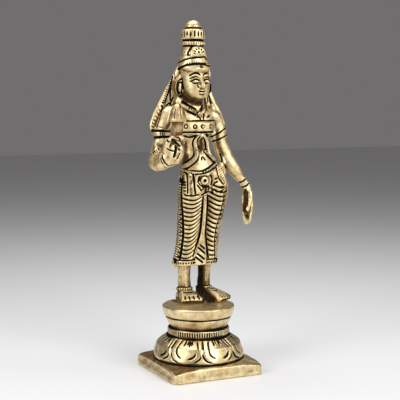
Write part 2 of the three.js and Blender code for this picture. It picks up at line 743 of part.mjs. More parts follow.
function sashes() {
  const rightEnd = [[-2.9, 67.4], [-2.8, 63], [-2.7, 59], [-2.6, 55]].map(([x, z]) => onFront(x, z, 0.5));
  const leftEnd = [[11, 70.6], [12.4, 66.8], [14, 62.4]].map(([x, z]) => onFront(x, z, 0.6));
  const [x, y, z] = onFront(3, 62.9, 0.4);
  const clasp = ball(x, y, z, 2.6, 1, 2.6, 8);
  const scrolls = [-1, 1].map((side) => {
    const curl = [[0.8, 65.8], [2.8, 66], [3.4, 63.6], [2.6, 61]];
    return braid(curl.map(([offset, height]) => onFront(3 + side * offset, height, 0.2)), 0.6, 0.7);
  });
  const knot = limb([[12.8, -2, 72.4, 1.6, 1.2], [15, -2.6, 70, 2.2, 1.4], [17, -2.6, 66, 1, 1.2]], 6);
  return [braid(rightEnd, 1.5, 1), braid(leftEnd, 1.4, 1), clasp, scrolls, knot];
}

function figure() {
  const parts = [torso(), skirt(), sideBorders(), legsAndFeet(), rightArm(), leftArm()];
  return join([parts, head(), crown(), hairRibbons(), ornaments()].flat(4));
}

const group = new THREE.Group();
const plinthMesh = named("lotus_plinth", lotusPlinth());
const figureMesh = named("figure", figure());
figureMesh.position.set(0, setBack, drumTop + standingGap);
group.add(plinthMesh, figureMesh);

export default group;
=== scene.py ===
import math

import bpy
import numpy as np
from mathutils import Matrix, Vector
from mathutils.bvhtree import BVHTree


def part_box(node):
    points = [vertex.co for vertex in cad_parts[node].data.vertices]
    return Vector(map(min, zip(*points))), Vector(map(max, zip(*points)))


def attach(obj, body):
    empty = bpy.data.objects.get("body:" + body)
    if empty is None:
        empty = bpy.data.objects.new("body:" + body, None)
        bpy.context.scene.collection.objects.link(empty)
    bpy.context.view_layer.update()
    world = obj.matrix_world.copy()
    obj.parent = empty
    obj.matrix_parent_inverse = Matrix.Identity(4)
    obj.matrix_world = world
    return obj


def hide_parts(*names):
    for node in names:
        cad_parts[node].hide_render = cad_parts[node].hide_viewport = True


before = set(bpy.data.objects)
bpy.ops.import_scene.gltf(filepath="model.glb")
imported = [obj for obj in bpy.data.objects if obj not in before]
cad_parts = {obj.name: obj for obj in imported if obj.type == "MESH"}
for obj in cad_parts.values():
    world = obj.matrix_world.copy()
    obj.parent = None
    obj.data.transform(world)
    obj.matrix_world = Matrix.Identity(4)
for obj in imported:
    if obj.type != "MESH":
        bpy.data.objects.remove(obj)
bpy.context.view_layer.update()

mm = 0.001

# View

view = {
    "imageSize": 400,
    "aim": (-1.11, -2.32, 86.8),  # mm
    "distance": 524,
    "azimuth": -25.64,
    "pitch": 5.67,
    "focalLength": 1038.2,  # pixels
    "centre": (198.4, 201.35),  # pixels
    "floor": 4000,
}


def viewAxes():
    turn, tilt = math.radians(view["azimuth"]), math.radians(view["pitch"])
    right = Vector((math.cos(turn), math.sin(turn), 0))
    back = Vector((math.sin(turn) * math.cos(tilt), -math.cos(turn) * math.cos(tilt), math.sin(tilt)))
    return right, back.cross(right), back


def addCamera():
    back = viewAxes()[2]
    bpy.ops.object.camera_add()
    camera = bpy.context.object
    camera.location = (Vector(view["aim"]) + back * view["distance"]) * mm
    camera.rotation_mode = "QUATERNION"
    camera.rotation_quaternion = (-back).to_track_quat("-Z", "Y")
    size = view["imageSize"]
    camera.data.lens = view["focalLength"] / size * camera.data.sensor_width
    camera.data.shift_x = 0.5 - view["centre"][0] / size
    camera.data.shift_y = view["centre"][1] / size - 0.5
    camera.data.clip_start = 0.01
    bpy.context.scene.camera = camera


# Shader maths

class Value:
    def __init__(self, finish, socket):
        self.finish = finish
        self.socket = socket

    def math(self, operation, first, second, clamp=False):
        return self.finish.node(
            "ShaderNodeMath", {"operation": operation, "use_clamp": clamp}, {0: first, 1: second})

    def __add__(self, other):
        return self.math("ADD", self, other)

    def __sub__(self, other):
        return self.math("SUBTRACT", self, other)

    def __mul__(self, other):
        return self.math("MULTIPLY", self, other)

    def __rsub__(self, other):
        return self.math("SUBTRACT", other, self)

    __radd__ = __add__
    __rmul__ = __mul__

    def held(self):
        return self.math("ADD", self, 0, clamp=True)


class Finish:
    def __init__(self, name):
        self.material = bpy.data.materials.new(name)
        self.material.use_nodes = True
        self.tree = self.material.node_tree
        self.shader = self.tree.nodes["Principled BSDF"]

    def node(self, kind, settings=None, inputs=None, output=0):
        made = self.tree.nodes.new(kind)
        for key, value in (settings or {}).items():
            if key == "stops":
                self.setStops(made.color_ramp, value)
            else:
                setattr(made, key, value)
        for key, value in (inputs or {}).items():
            self.feed(made.inputs[key], value)
        return Value(self, made.outputs[output])

    def feed(self, socket, value):
        if isinstance(value, Value):
            self.tree.links.new(value.socket, socket)
        else:
            socket.default_value = value

    def setStops(self, ramp, stops):
        while len(ramp.elements) < len(stops):
            ramp.elements.new(1)
        for element, (place, tone) in zip(ramp.elements, stops):
            element.position = place
            element.color = (tone, tone, tone, 1)

    def ramp(self, value, *stops):
        return self.node("ShaderNodeValToRGB", {"stops": stops}, {0: value})

    def mix(self, share, first, second):
        settings = {"data_type": "RGBA"}
        return self.node("ShaderNodeMix", settings, {0: share, 6: first, 7: second}, output=2)

    def noise(self, scale, detail=3, roughness=0.5, stretch=(1, 1, 1)):
        place = self.node("ShaderNodeTexCoord", output=3)
        place = self.node("ShaderNodeMapping", None, {"Vector": place, "Scale": stretch})
        inputs = {"Vector": place, "Scale": scale, "Detail": detail, "Roughness": roughness}
        return self.node("ShaderNodeTexNoise", None, inputs)

    def attribute(self, name):
        return self.node("ShaderNodeAttribute", {"attribute_name": name}, output=2)


# Brass

brass = {
    "bright": (0.90, 0.76, 0.45, 1),
    "warm": (0.72, 0.53, 0.25, 1),
    # the brown of patina in hollows and of painted shade
    "stain": (0.16, 0.08, 0.025, 1),
    # the black of patina in cut lines, also used for part of the painted shade
    "sootAndShade": (0.008, 0.006, 0.004, 1),
    "cloudScale": 130,
    "speckScale": 910,
    "wearScale": 325,
    "grainScale": 2400,
    "warmShare": 0.85,
    "recessAndShadeBrown": 0.9,
    "speckBrown": 0.25,
    "roughness": {"warm": 0.08, "recessAndShade": 0.22, "sootAndShade": 0.35},
    "grainDepth": 0.05,  # mm
}


def makeBrass(name, roughness, worn):
    finish = Finish(name)
    # attributes from the carving: black patina in cut lines and brown patina in hollows, both also holding
    # painted shade in places
    patina = finish.attribute("patina")
    cavity = finish.attribute("cavity")
    clouds = finish.noise(brass["cloudScale"], detail=4)
    specks = finish.noise(brass["speckScale"], roughness=0.6)
    wearNoise = finish.noise(brass["wearScale"], detail=4, roughness=0.6)
    grain = finish.noise(brass["grainScale"], detail=2)
    scratches = finish.noise(brass["grainScale"] / 2, detail=2, stretch=(1, 1, 0.12))
    warm = finish.ramp(clouds, (0.35, 0), (0.68, 1))
    recessAndShade = finish.ramp(cavity + (specks - 0.5) * 0.5, (0.42, 0), (0.95, 1))
    sootAndShade = finish.ramp(patina + (specks - 0.5) * 0.35, (0.35, 0), (0.6, 1))
    wear = finish.ramp(wearNoise, (0.44, 0), (0.72, 1))
    spots = finish.ramp(specks, (0.62, 0), (0.8, 1))
    colour = finish.mix(warm * brass["warmShare"], brass["bright"], brass["warm"])
    brown = recessAndShade * brass["recessAndShadeBrown"] + wear * worn + spots * brass["speckBrown"]
    colour = finish.mix(brown.held(), colour, brass["stain"])
    colour = finish.mix(sootAndShade, colour, brass["sootAndShade"])
    more = brass["roughness"]
    rough = warm * more["warm"] + recessAndShade * more["recessAndShade"] + sootAndShade * more["sootAndShade"] + roughness
    relief = grain + scratches * 0.8 + specks * 1.5
    bump = {"Strength": 0.35, "Distance": brass["grainDepth"] * mm, "Height": relief}
    finish.feed(finish.shader.inputs["Base Color"], colour)
    finish.feed(finish.shader.inputs["Metallic"], (1 - recessAndShade * 0.2).held())
    finish.feed(finish.shader.inputs["Roughness"], rough.held())
    finish.feed(finish.shader.inputs["Normal"], finish.node("ShaderNodeBump", None, bump))
    return finish.material


# Forms

def curveThrough(rows, steps):
    rows = np.array(rows, float)
    padded = np.vstack([2 * rows[0] - rows[1], rows, 2 * rows[-1] - rows[-2]])
    spans = len(rows) - 1
    made = []
    for place in np.linspace(0, spans, steps + 1):
        i = min(int(place), spans - 1)
        t = place - i
        before, start, end, after = padded[i:i + 4]
        square = 2 * before - 5 * start + 4 * end - after
        cube = 3 * start - before - 3 * end + after
        made.append(0.5 * (2 * start + (end - before) * t + square * t ** 2 + cube * t ** 3))
    return np.array(made)


class Workshop:  # forms in one piece's own units and place
    def __init__(self, unit):
        self.unit = unit
        self.forms = []

    def sized(self, *place):
        return Vector(place) * self.unit

    def begin(self):
        bpy.ops.object.select_all(action="DESELECT")

    def keep(self):
        self.forms.append(bpy.context.object)
        return bpy.context.object

    # rows of z, x, y, half width, half depth
    def stack(self, rows, sides=40, steps=None):
        rings = curveThrough(rows, steps or 3 * (len(rows) - 1))
        self.begin()
        bpy.ops.mesh.primitive_circle_add(vertices=sides, radius=self.unit, fill_type="NGON")
        bpy.ops.object.mode_set(mode="EDIT")
        z, x, y, halfWidth, halfDepth = rings[0]
        centre = self.sized(x, y, z)
        bpy.ops.transform.resize(value=(halfWidth, halfDepth, 1), center_override=(0, 0, 0))
        bpy.ops.transform.translate(value=centre)
        for before, (z, x, y, halfWidth, halfDepth) in zip(rings, rings[1:]):
            moved = self.sized(x, y, z) - centre
            centre = self.sized(x, y, z)
            bpy.ops.mesh.extrude_region_move(TRANSFORM_OT_translate={"value": moved})
            bpy.ops.transform.resize(
                value=(halfWidth / before[3], halfDepth / before[4], 1), center_override=centre)
        bpy.ops.mesh.select_all(action="SELECT")
        bpy.ops.mesh.normals_make_consistent(inside=False)
        bpy.ops.object.mode_set(mode="OBJECT")
        self.keep()

    def blob(self, x, y, z, across, deep=None, tall=None, turn=(0, 0, 0)):
        self.begin()
        scale = (across, deep or across, tall or across)
        bpy.ops.mesh.primitive_uv_sphere_add(
            segments=24, ring_count=16, radius=self.unit, location=self.sized(x, y, z),
            rotation=[math.radians(angle) for angle in turn], scale=scale)
        self.keep()

    def hoop(self, x, y, z, radius, thickness, turn=(0, 90, 0)):
        self.begin()
        bpy.ops.mesh.primitive_torus_add(
            major_segments=32, minor_segments=12, location=self.sized(x, y, z),
            rotation=[math.radians(angle) for angle in turn],
            major_radius=radius * self.unit, minor_radius=thickness * self.unit)
        self.keep()

    # points of x, y, z, radius; squash flattens the round section
    def tube(self, points, squash=(1, 1, 1), roundEnds=True):
        self.begin()
        bpy.ops.curve.primitive_nurbs_path_add(radius=self.unit)
        curve = bpy.context.object
        curve.data.splines.clear()
        spline = curve.data.splines.new("BEZIER")
        spline.bezier_points.add(len(points) - 1)
        for knot, (x, y, z, radius) in zip(spline.bezier_points, points):
            knot.co = self.sized(x / squash[0], y / squash[1], z / squash[2])
            knot.handle_left_type = knot.handle_right_type = "AUTO"
            knot.radius = radius
        curve.data.dimensions = "3D"
        curve.data.resolution_u = 8
        curve.data.bevel_depth = self.unit
        curve.data.bevel_resolution = 5
        curve.data.use_fill_caps = True
        bpy.ops.object.convert(target="MESH")
        bpy.ops.object.mode_set(mode="EDIT")
        bpy.ops.mesh.select_all(action="SELECT")
        bpy.ops.mesh.remove_doubles(threshold=self.unit * 0.01)
        bpy.ops.transform.resize(value=squash, center_override=(0, 0, 0))
        bpy.ops.mesh.normals_make_consistent(inside=False)
        bpy.ops.object.mode_set(mode="OBJECT")
        self.keep()
        if roundEnds:
            for x, y, z, radius in (points[0], points[-1]):
                self.blob(x, y, z, *[radius * share for share in squash])

    def fuse(self, name, voxel, softening, offset=(0, 0, 0), flatFoot=False):
        self.begin()
        for form in self.forms:
            form.select_set(True)
        piece = self.forms[0]
        bpy.context.view_layer.objects.active = piece
        bpy.ops.object.join()
        bpy.ops.object.transform_apply(location=True, rotation=True, scale=True)
        bpy.ops.object.mode_set(mode="EDIT")
        bpy.ops.mesh.select_all(action="SELECT")
        if flatFoot:
            bpy.ops.mesh.bisect(plane_co=(0, 0, 0), plane_no=(0, 0, 1), use_fill=True, clear_inner=True)
            bpy.ops.mesh.select_all(action="SELECT")
        bpy.ops.transform.translate(value=offset)
        bpy.ops.object.mode_set(mode="OBJECT")
        piece.name = name
        piece.data.name = name
        remesh = piece.modifiers.new("cast", "REMESH")
        remesh.mode = "VOXEL"
        remesh.voxel_size = voxel * mm
        smooth = piece.modifiers.new("soften", "SMOOTH")
        smooth.iterations = softening
        for modifier in ("cast", "soften"):
            bpy.ops.object.modifier_apply(modifier=modifier)
        return piece


# Carving

class Carving:
    everywhere = slice(None)

    def __init__(self, piece, unit, offset):
        self.piece = piece
        self.unit = unit
        self.offset = np.array(offset)
        mesh = piece.data
        self.points = (self.read(mesh.vertices, "co") - self.offset) / unit
        self.normals = self.read(mesh.vertices, "normal")
        self.tree = BVHTree.FromObject(piece, bpy.context.evaluated_depsgraph_get())
        self.edges = np.empty(len(mesh.edges) * 2, np.int32)
        mesh.edges.foreach_get("vertices", self.edges)
        self.edges = self.edges.reshape(-1, 2)
        self.raised = np.zeros(len(self.points))
        self.cut = np.zeros(len(self.points))
        self.patina = np.zeros(len(self.points))
        self.stain = np.zeros(len(self.points))

    def read(self, items, name):
        flat = np.empty(len(items) * 3, np.float32)
        items.foreach_get(name, flat)
        return flat.reshape(-1, 3).astype(float)

    def world(self, place):
        return Vector(np.asarray(place, float) * self.unit + self.offset)

    def own(self, place):
        return (np.array(place) - self.offset) / self.unit

    # a smooth line through x, z points, cast on the surface from the front or the back
    def onFront(self, route, fromY=-60, spacing=0.4):
        hits = []
        for x, z in self.even(route, spacing):
            hit = self.tree.ray_cast(self.world((x, fromY, z)), Vector((0, -math.copysign(1, fromY), 0)))
            if hit[0] is not None:
                hits.append(self.own(hit[0]))
        return np.array(hits)

    # a smooth line through places as the viewer sees them, in mm across and above the aim
    def onView(self, route, spacing=0.4):
        right, up, back = viewAxes()
        aim = Vector(view["aim"])
        eye = (aim + back * view["distance"]) * mm
        hits = []
        for across, above in self.even(route, spacing):
            target = (aim + right * across + up * above) * mm
            hit = self.tree.ray_cast(eye, target - eye)
            if hit[0] is not None:
                hits.append(self.own(hit[0]))
        return np.array(hits)

    # a smooth line through x, y, z points, moved to the nearest place on the surface
    def onSurface(self, route, spacing=0.4):
        nearest = [self.tree.find_nearest(self.world(place))[0] for place in self.even(route, spacing)]
        return np.array([self.own(place) for place in nearest])

    def even(self, route, spacing):
        route = np.array(route, float)
        if len(route) < 2:
            return route
        fine = curveThrough(route, 12 * (len(route) - 1))
        along = np.concatenate([[0], np.cumsum(np.linalg.norm(np.diff(fine, axis=0), axis=1))])
        count = max(2, int(along[-1] / spacing) + 1)
        places = np.linspace(0, along[-1], count)
        return np.stack([np.interp(places, along, column) for column in fine.T], axis=1)

    # for the points near a line: which they are, how far off, how far along, and how far to its side
    def near(self, line, reach):
        low, high = line.min(0) - reach, line.max(0) + reach
        inside = np.flatnonzero(((self.points > low) & (self.points < high)).all(1))
        start, step = line[:-1], np.diff(line, axis=0)
        lengths = np.maximum(np.linalg.norm(step, axis=1), 1e-6)
        before = np.concatenate([[0], np.cumsum(lengths)[:-1]])
        found, off, along, side = [], [], [], []
        for some in np.array_split(inside, max(1, len(inside) // 4000)):
            gap = self.points[some][:, None] - start[None]
            share = np.clip((gap * step).sum(2) / lengths ** 2, 0, 1)
            rest = gap - share[..., None] * step
            distance = np.linalg.norm(rest, axis=2)
            best = distance.argmin(1)
            rows = np.arange(len(some))
            across = np.cross(step[best] / lengths[best, None], self.normals[some])
            found.append(some)
            off.append(distance[rows, best])
            along.append(before[best] + share[rows, best] * lengths[best])
            side.append((rest[rows, best] * across).sum(1))
        found, off, along, side = map(np.concatenate, (found, off, along, side))
        close = off < reach
        return found[close], off[close], along[close], side[close], before[-1] + lengths[-1]

    # a smooth line through x, y, z points, just as given
    def asGiven(self, route):
        return self.even(route, 0.5)

    # adds to some points' relief, stains or painted shade, keeping the stronger of old and new
    def deepen(self, found, **amounts):
        for name, amount in amounts.items():
            values = getattr(self, name)
            values[found] = np.maximum(values[found], amount)

    def groove(self, line, width, depth, dark=1, taper=1.2):
        if len(line) < 2:
            return
        found, off, along, side, length = self.near(line, width * 1.5)
        ends = np.clip((np.minimum(along, length - along) + 0.25 * taper) / max(taper, 1e-3), 0.25, 1)
        half = width / 2 * ends
        profile = np.clip(1 - (off / (half * 1.25)) ** 2, 0, 1)
        self.deepen(found, cut=depth * profile * ends, patina=dark * np.clip(1.7 - off / half, 0, 1))

    # a raised band with soft edges, ribbed across
    def band(self, line, half, proud, pitch, ribDepth, edged, dark):
        found, off, along, side, length = self.near(line, half * 1.5 + edged)
        inside = np.clip((half - np.abs(side)) / 0.35 + 0.5, 0, 1)
        inside *= off < half * 1.45
        count = max(1, round(length / pitch))
        phase = np.abs((along / length * count) % 1 - 0.5) * 2
        rib = np.clip((phase - 0.5) / 0.4, 0, 1) * np.clip((half * 0.85 - np.abs(side)) / 0.3, 0, 1)
        self.deepen(found, raised=proud * inside, cut=ribDepth * rib, patina=dark * rib * 0.85)
        edge = np.clip(1 - np.abs(np.abs(side) - half - edged / 2) / (edged * 0.75), 0, 1)
        edge *= (off < half + edged * 1.6)
        self.deepen(found, cut=0.35 * edge, patina=np.clip(edge * 1.8, 0, 1))

    # cuts across a cord or border that runs round its own middle line
    def ribs(self, line, reach, pitch, depth, dark, slant=0, share=0.72, brown=0):
        found, off, along, side, length = self.near(line, reach)
        count = max(1, round(length / pitch))
        phase = np.abs(((along + slant * side) / length * count) % 1 - 0.5) * 2
        rib = np.clip((phase - 1 + share) / 0.3, 0, 1) * np.clip((reach - off) / 0.3, 0, 1)
        self.deepen(found, cut=depth * rib, patina=dark * rib, stain=brown * rib)

    def dot(self, place, radius, proud=0, ring=0.6, dark=1):
        centre = self.own(self.tree.find_nearest(self.world(place))[0])
        off = np.linalg.norm(self.points - centre, axis=1)
        found = np.flatnonzero(off < radius + ring * 2)
        off = off[found]
        boss = np.clip(1 - (off / radius) ** 2, 0, 1)
        edge = np.clip(1 - np.abs(off - radius) / ring, 0, 1)
        self.deepen(found, raised=proud * boss, cut=0.3 * edge, patina=dark * np.clip(edge * 1.6, 0, 1))

    # a dark line all round a turned part, at one height
    def level(self, height, half, depth, centre, within):
        x, y, z = self.points.T
        inside = np.hypot(x - centre[0], y - centre[1]) < within
        ring = np.clip(1.5 - np.abs(z - height) / half, 0, 1) * inside
        self.deepen(self.everywhere, cut=depth * ring, patina=ring)

    # brown and partly black colour near a line: a stain in some places, painted shade in others
    def darken(self, line, reach, amount):
        found, off, along, side, length = self.near(line, reach)
        tone = amount * np.clip(1.8 - 1.8 * off / reach, 0, 1)
        self.deepen(found, stain=tone, patina=0.52 * tone)

    # tables of routes, each cast on the surface in the way given
    def strokes(self, cast, table, depth, dark=1, taper=1.2):
        for route, width in table:
            self.groove(cast(route), width, depth, dark, taper)

    def stains(self, cast, table):
        for route, reach, amount in table:
            self.darken(cast(route), reach, amount)

    def hatch(self, table):
        for route, *settings in table:
            self.ribs(self.onView(route), *settings)

    # 0 near a line and 1 away from it
    def mask(self, line, half):
        clear = np.ones(len(self.points))
        soft = 0.4
        found, off, along, side, length = self.near(line, half + soft)
        clear[found] = np.clip((off - half) / soft, 0, 1)
        return clear

    def averaged(self, values, rounds):
        start, end = self.edges.T
        count = len(values)
        weight = np.bincount(start, minlength=count) + np.bincount(end, minlength=count)
        weight = np.maximum(weight, 1)[:, None]
        for _ in range(rounds):
            total = np.empty_like(values)
            for axis in range(values.shape[1]):
                total[:, axis] = (np.bincount(start, values[end, axis], count)
                                  + np.bincount(end, values[start, axis], count))
            values = 0.5 * values + 0.5 * total / weight
        return values

    def finish(self, faceLimit, wander=0.0):
        normals = self.averaged(self.normals, 4)
        normals /= np.linalg.norm(normals, axis=1)[:, None]
        height = self.averaged((self.raised - self.cut)[:, None], 1)
        moved = self.points + normals * height
        if wander:
            waves = np.sin(self.points @ np.array([0.5, 0.31, 0.23]))
            waves *= np.sin(self.points @ np.array([-0.27, 0.42, 0.37]))
            inward = np.clip(self.points[:, 2] / 2 - 0.2, 0, 1) * (waves - 1)
            moved += normals * (wander * inward)[:, None]
        near, far = self.averaged(moved, 6), self.averaged(moved, 40)
        hollow = ((near - moved) * normals).sum(1) * 5 + ((far - near) * normals).sum(1) * 2
        # brown where the surface is hollow, as patina gathers there, plus stains and painted shade added
        # along lines
        cavity = np.clip(0.5 + hollow + self.stain, 0, 1)
        mesh = self.piece.data
        mesh.vertices.foreach_set("co", (moved * self.unit + self.offset).astype(np.float32).ravel())
        for name, values in (("patina", self.patina), ("cavity", cavity)):
            layer = mesh.attributes.new(name, "FLOAT", "POINT")
            layer.data.foreach_set("value", values.astype(np.float32))
        mesh.update()
        bpy.context.view_layer.objects.active = self.piece
        triangles = sum(len(face.vertices) - 2 for face in mesh.polygons)
        if triangles > faceLimit:
            thin = self.piece.modifiers.new("thin", "DECIMATE")
            thin.ratio = faceLimit / triangles
            bpy.ops.object.modifier_apply(modifier="thin")
        for face in self.piece.data.polygons:
            face.use_smooth = True
        print(self.piece.name, triangles, "triangles thinned to", len(self.piece.data.polygons))


# Lotus plinth

plinthLow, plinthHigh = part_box("lotus_plinth")
plinth = {
    "slabEdge": 0.8,
    "slabEdgeDrop": 0.7,
    "slabCornerDrop": 2.4,
    "slabSquareness": 20,
    "lotusFoot": 7,
    "lotusHeight": 11.6,
    "lotusMargin": 1.3,
    "lotusCurl": 0.9,
    "lotusShoulder": 0.68,
    "petals": 8,
    "petalTurn": 3,  # degrees
    "petalProud": 0.4,
    "beadRingRadius": 16,
    "beadRingHeight": 4.5,
    "beads": 78,
    "beadsWorn": ((-94, 26), (51, 24)),  # middle and half width in degrees
    "neckRecess": 1.4,
    "drumTopRadius": 18.57,
    "lineShare": 0.46,
    "voxel": 0.3,
    "softening": 3,
    "faces": 150000,
    "roughness": 0.33,
    "worn": 0.48,
}
slabSide = (plinthHigh.x - plinthLow.x) / mm - 0.04
plinthHeight = (plinthHigh.z - plinthLow.z) / mm
lotusRadius = slabSide / 2 - plinth["lotusMargin"]
lotusFoot = plinth["lotusFoot"]
ringFoot = lotusFoot + plinth["lotusHeight"]
drumFoot = ringFoot + plinth["beadRingHeight"]


def lotusOutline(share):
    crease = lotusRadius - 0.28 * (lotusRadius - plinth["beadRingRadius"])
    radii = [lotusRadius - plinth["lotusCurl"], lotusRadius, crease, plinth["beadRingRadius"]]
    return np.interp(share, [0, 0.1, plinth["lotusShoulder"], 1], radii)


def drumWall(z):
    foot = plinth["beadRingRadius"] - plinth["neckRecess"]
    share = max(0, (z - drumFoot) / (plinthHeight - drumFoot))
    return foot + (plinth["drumTopRadius"] - foot) * math.sin(share * math.pi / 2) ** 0.95


def slabForm(shop):
    half = slabSide / 2
    shop.begin()
    bpy.ops.mesh.primitive_cube_add(
        size=mm, location=(0, 0, lotusFoot / 2 * mm), scale=(slabSide, slabSide, lotusFoot))
    bpy.ops.object.transform_apply(location=True, rotation=True, scale=True)
    bpy.ops.object.mode_set(mode="EDIT")
    bpy.ops.mesh.bevel(offset=plinth["slabEdge"] * mm, segments=4)
    bpy.ops.mesh.select_all(action="SELECT")
    bpy.ops.mesh.subdivide(number_cuts=30)
    bpy.ops.object.mode_set(mode="OBJECT")
    # the top falls away from the lotus to the edges and further to the corners, which are a little rounded
    for vertex in shop.keep().data.vertices:
        x, y, z = vertex.co / mm
        short, long = sorted((abs(x), abs(y)))
        slant = short / max(long, 0.01)
        drop = plinth["slabEdgeDrop"] + (plinth["slabCornerDrop"] - plinth["slabEdgeDrop"]) * slant ** 4
        edge = half * math.hypot(1, slant)
        share = (math.hypot(x, y) - lotusRadius + 1) / (edge - lotusRadius + 1)
        vertex.co.z -= drop * min(1, max(0, share)) * z / lotusFoot * mm
        reach = (1 + slant ** plinth["slabSquareness"]) ** (-1 / plinth["slabSquareness"])
        vertex.co.xy *= 1 - (1 - reach) * long / half


def plinthForms():
    shop = Workshop(mm)
    half = plinth["petalProud"] / 2
    lotus = [(lotusFoot - 2, 0, 0, lotusRadius - 3, lotusRadius - 3)]
    lotus.append((lotusFoot - 0.05, 0, 0, lotusRadius - 3, lotusRadius - 3))
    for share in np.linspace(0, 1, 16):
        radius = lotusOutline(share) - half
        lotus.append((lotusFoot + share * plinth["lotusHeight"], 0, 0, radius, radius))
    shop.stack(lotus, sides=96, steps=len(lotus) - 1)
    slabForm(shop)
    ringRadius = plinth["beadRingRadius"]
    rows = [
        (ringFoot - 0.6, ringRadius - 1.2), (ringFoot + 0.5, ringRadius - 0.5), (ringFoot + 1.1, ringRadius),
        (drumFoot - 1.1, ringRadius), (drumFoot - 0.3, ringRadius - 0.5), (drumFoot, ringRadius - 1.6)]
    shop.stack([(z, 0, 0, radius, radius) for z, radius in rows], sides=96, steps=len(rows) - 1)
    levels = np.linspace(drumFoot - 0.5, plinthHeight - 0.5, 12)
    rows = [(z, max(drumWall(z), 14.3)) for z in levels] + [(plinthHeight, plinth["drumTopRadius"] - 0.6)]
    shop.stack([(z, 0, 0, radius, radius) for z, radius in rows], sides=96, steps=len(rows) - 1)
    return shop.fuse("lotus_plinth_cast", plinth["voxel"], plinth["softening"])


def onLotus(turn, share):
    radius = lotusOutline(share)
    return (radius * math.sin(turn), -radius * math.cos(turn), lotusFoot + share * plinth["lotusHeight"])


petalStrokes = (  # degrees from the petal's middle and share of the lotus height, then the width
    ([(-11.5, 0.98), (-13.4, 0.84), (-14.2, 0.66), (-13.8, 0.5), (-11, 0.38), (-6, 0.29)], 0.75),
    ([(14, 0.53), (11.3, 0.4), (7.5, 0.32), (3, 0.27)], 1.15),
    ([(14.5, 0.97), (16, 0.78), (17, 0.62)], 0.8),
    ([(-22.8, 0.5), (-20, 0.3), (-16, 0.18), (-10, 0.12)], 0.85),
    ([(19.5, 0.44), (17.4, 0.29), (10.5, 0.15)], 0.95),
    ([(-22.3, 0.97), (-22.6, 0.62)], 0.95),
    ([(-3.8, 0.98), (-4.4, 0.76)], 0.85),
    ([(-0.2, 0.98), (-0.2, 0.8)], 0.85),
    ([(3.4, 0.98), (3.5, 0.75)], 0.85),
    ([(7, 0.98), (7.4, 0.79)], 0.85),
)


def petalHalf(share):
    # the petal's half angle: round at the slab, then straight up to the bead ring
    rise = np.clip((share - 0.07) / 0.36, 0, 1)
    return math.radians(21.7) * np.sqrt(1 - (1 - rise) ** 2)


def carvePetals(carving):
    x, y, z = carving.points.T
    share = (z - lotusFoot) / plinth["lotusHeight"]
    pitch = 2 * math.pi / plinth["petals"]
    start = math.radians(plinth["petalTurn"])
    turn = (np.arctan2(x, -y) - start + pitch / 2) % pitch - pitch / 2
    radius = np.hypot(x, y)
    inside = (petalHalf(share) - np.abs(turn)) * radius
    onDome = (share > 0.03) & (share < 1) & (radius > 15)
    carving.raised += np.where(onDome, plinth["petalProud"] * np.clip(inside / 1.2 + 0.5, 0, 1), 0)
    for index in range(plinth["petals"]):
        bearing = start + index * pitch
        for stroke, (route, width) in enumerate(petalStrokes):
            # no two petals are cut quite alike
            shift = 0.7 * math.sin(index * 2.1 + stroke * 1.7)
            places = [onLotus(bearing + math.radians(angle + shift), height) for angle, height in route]
            wide = width * (0.85 + 0.1 * math.sin(index + stroke * 2.4))
            carving.groove(carving.onSurface(places), wide, 0.45, taper=1.6)


def carvePlinth(piece):
    carving = Carving(piece, mm, (0, 0, 0))
    x, y, z = carving.points.T
    turn, radius = np.arctan2(x, -y), np.hypot(x, y)
    carvePetals(carving)
    # strokes round the bead ring
    middle = ringFoot + plinth["beadRingHeight"] / 2
    band = np.clip((1.5 - np.abs(z - middle + 0.15)) / 0.3, 0, 1) * (radius > plinth["beadRingRadius"] - 1.6)
    phase = np.abs((turn / (2 * math.pi) * plinth["beads"]) % 1 - 0.5) * 2
    for bearing, half in plinth["beadsWorn"]:
        band *= np.clip((np.abs(turn - math.radians(bearing)) - math.radians(half)) / 0.06, 0, 1)
    stroke = np.clip((phase - 0.3) / 0.3, 0, 1) * band
    carving.deepen(carving.everywhere, cut=0.45 * stroke, patina=stroke)
    # the necks above and below it, cut with dark lines and darkened with painted shade, the line round the
    # drum and the one at the lotus foot
    lineZ = drumFoot + plinth["lineShare"] * (plinthHeight - drumFoot)
    carving.stain += 0.42 * np.clip(1.4 - np.abs(z - middle) / 3, 0, 1) * (radius > 13)
    uneven = 1 + 0.35 * np.sin(turn * 3 + 1) + 0.25 * np.sin(turn * 7)
    atLotusFoot = np.abs(radius - lotusRadius + plinth["lotusCurl"]) < 1
    lines = (
        (ringFoot, 0.65 * uneven, 0.3, radius > 13),
        (drumFoot - 0.1, 0.62 * uneven, 0.3, radius > 13),
        (lineZ, 0.62, 0.5, radius > 13),
        (lotusFoot + 0.1, 0.4, 0, atLotusFoot),
    )
    for level, width, depth, where in lines:
        reach = np.clip(1 - (np.abs(z - level) / width) ** 2, 0, 1) * where
        carving.deepen(carving.everywhere, cut=depth * reach, patina=np.clip(reach * 1.6 - 0.35, 0, 1))
    # painted shade: the slab is darker and duller on top to the left of the lotus, and on its left side
    top = (carving.normals[:, 2] > 0.6) * (z < lotusFoot + 0.3)
    carving.stain += 0.66 * top * np.clip((-x - 4) / 9, 0, 1)
    carving.stain += 0.2 * (carving.normals[:, 0] < -0.6) * (z < lotusFoot - 0.6)
    # a painted shadow on top of the drum, beside the right foot
    carving.darken(carving.onView([(-13, -49.8), (-11, -50.7)]), 1.6, 0.8)
    carving.finish(plinth["faces"], wander=0.12)


def makePlinth():
    piece = plinthForms()
    carvePlinth(piece)
    piece.data.materials.clear()
    piece.data.materials.append(makeBrass("plinth brass", plinth["roughness"], plinth["worn"]))
    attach(piece, "root")
    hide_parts("lotus_plinth")
    print("plinth done")


# Goddess

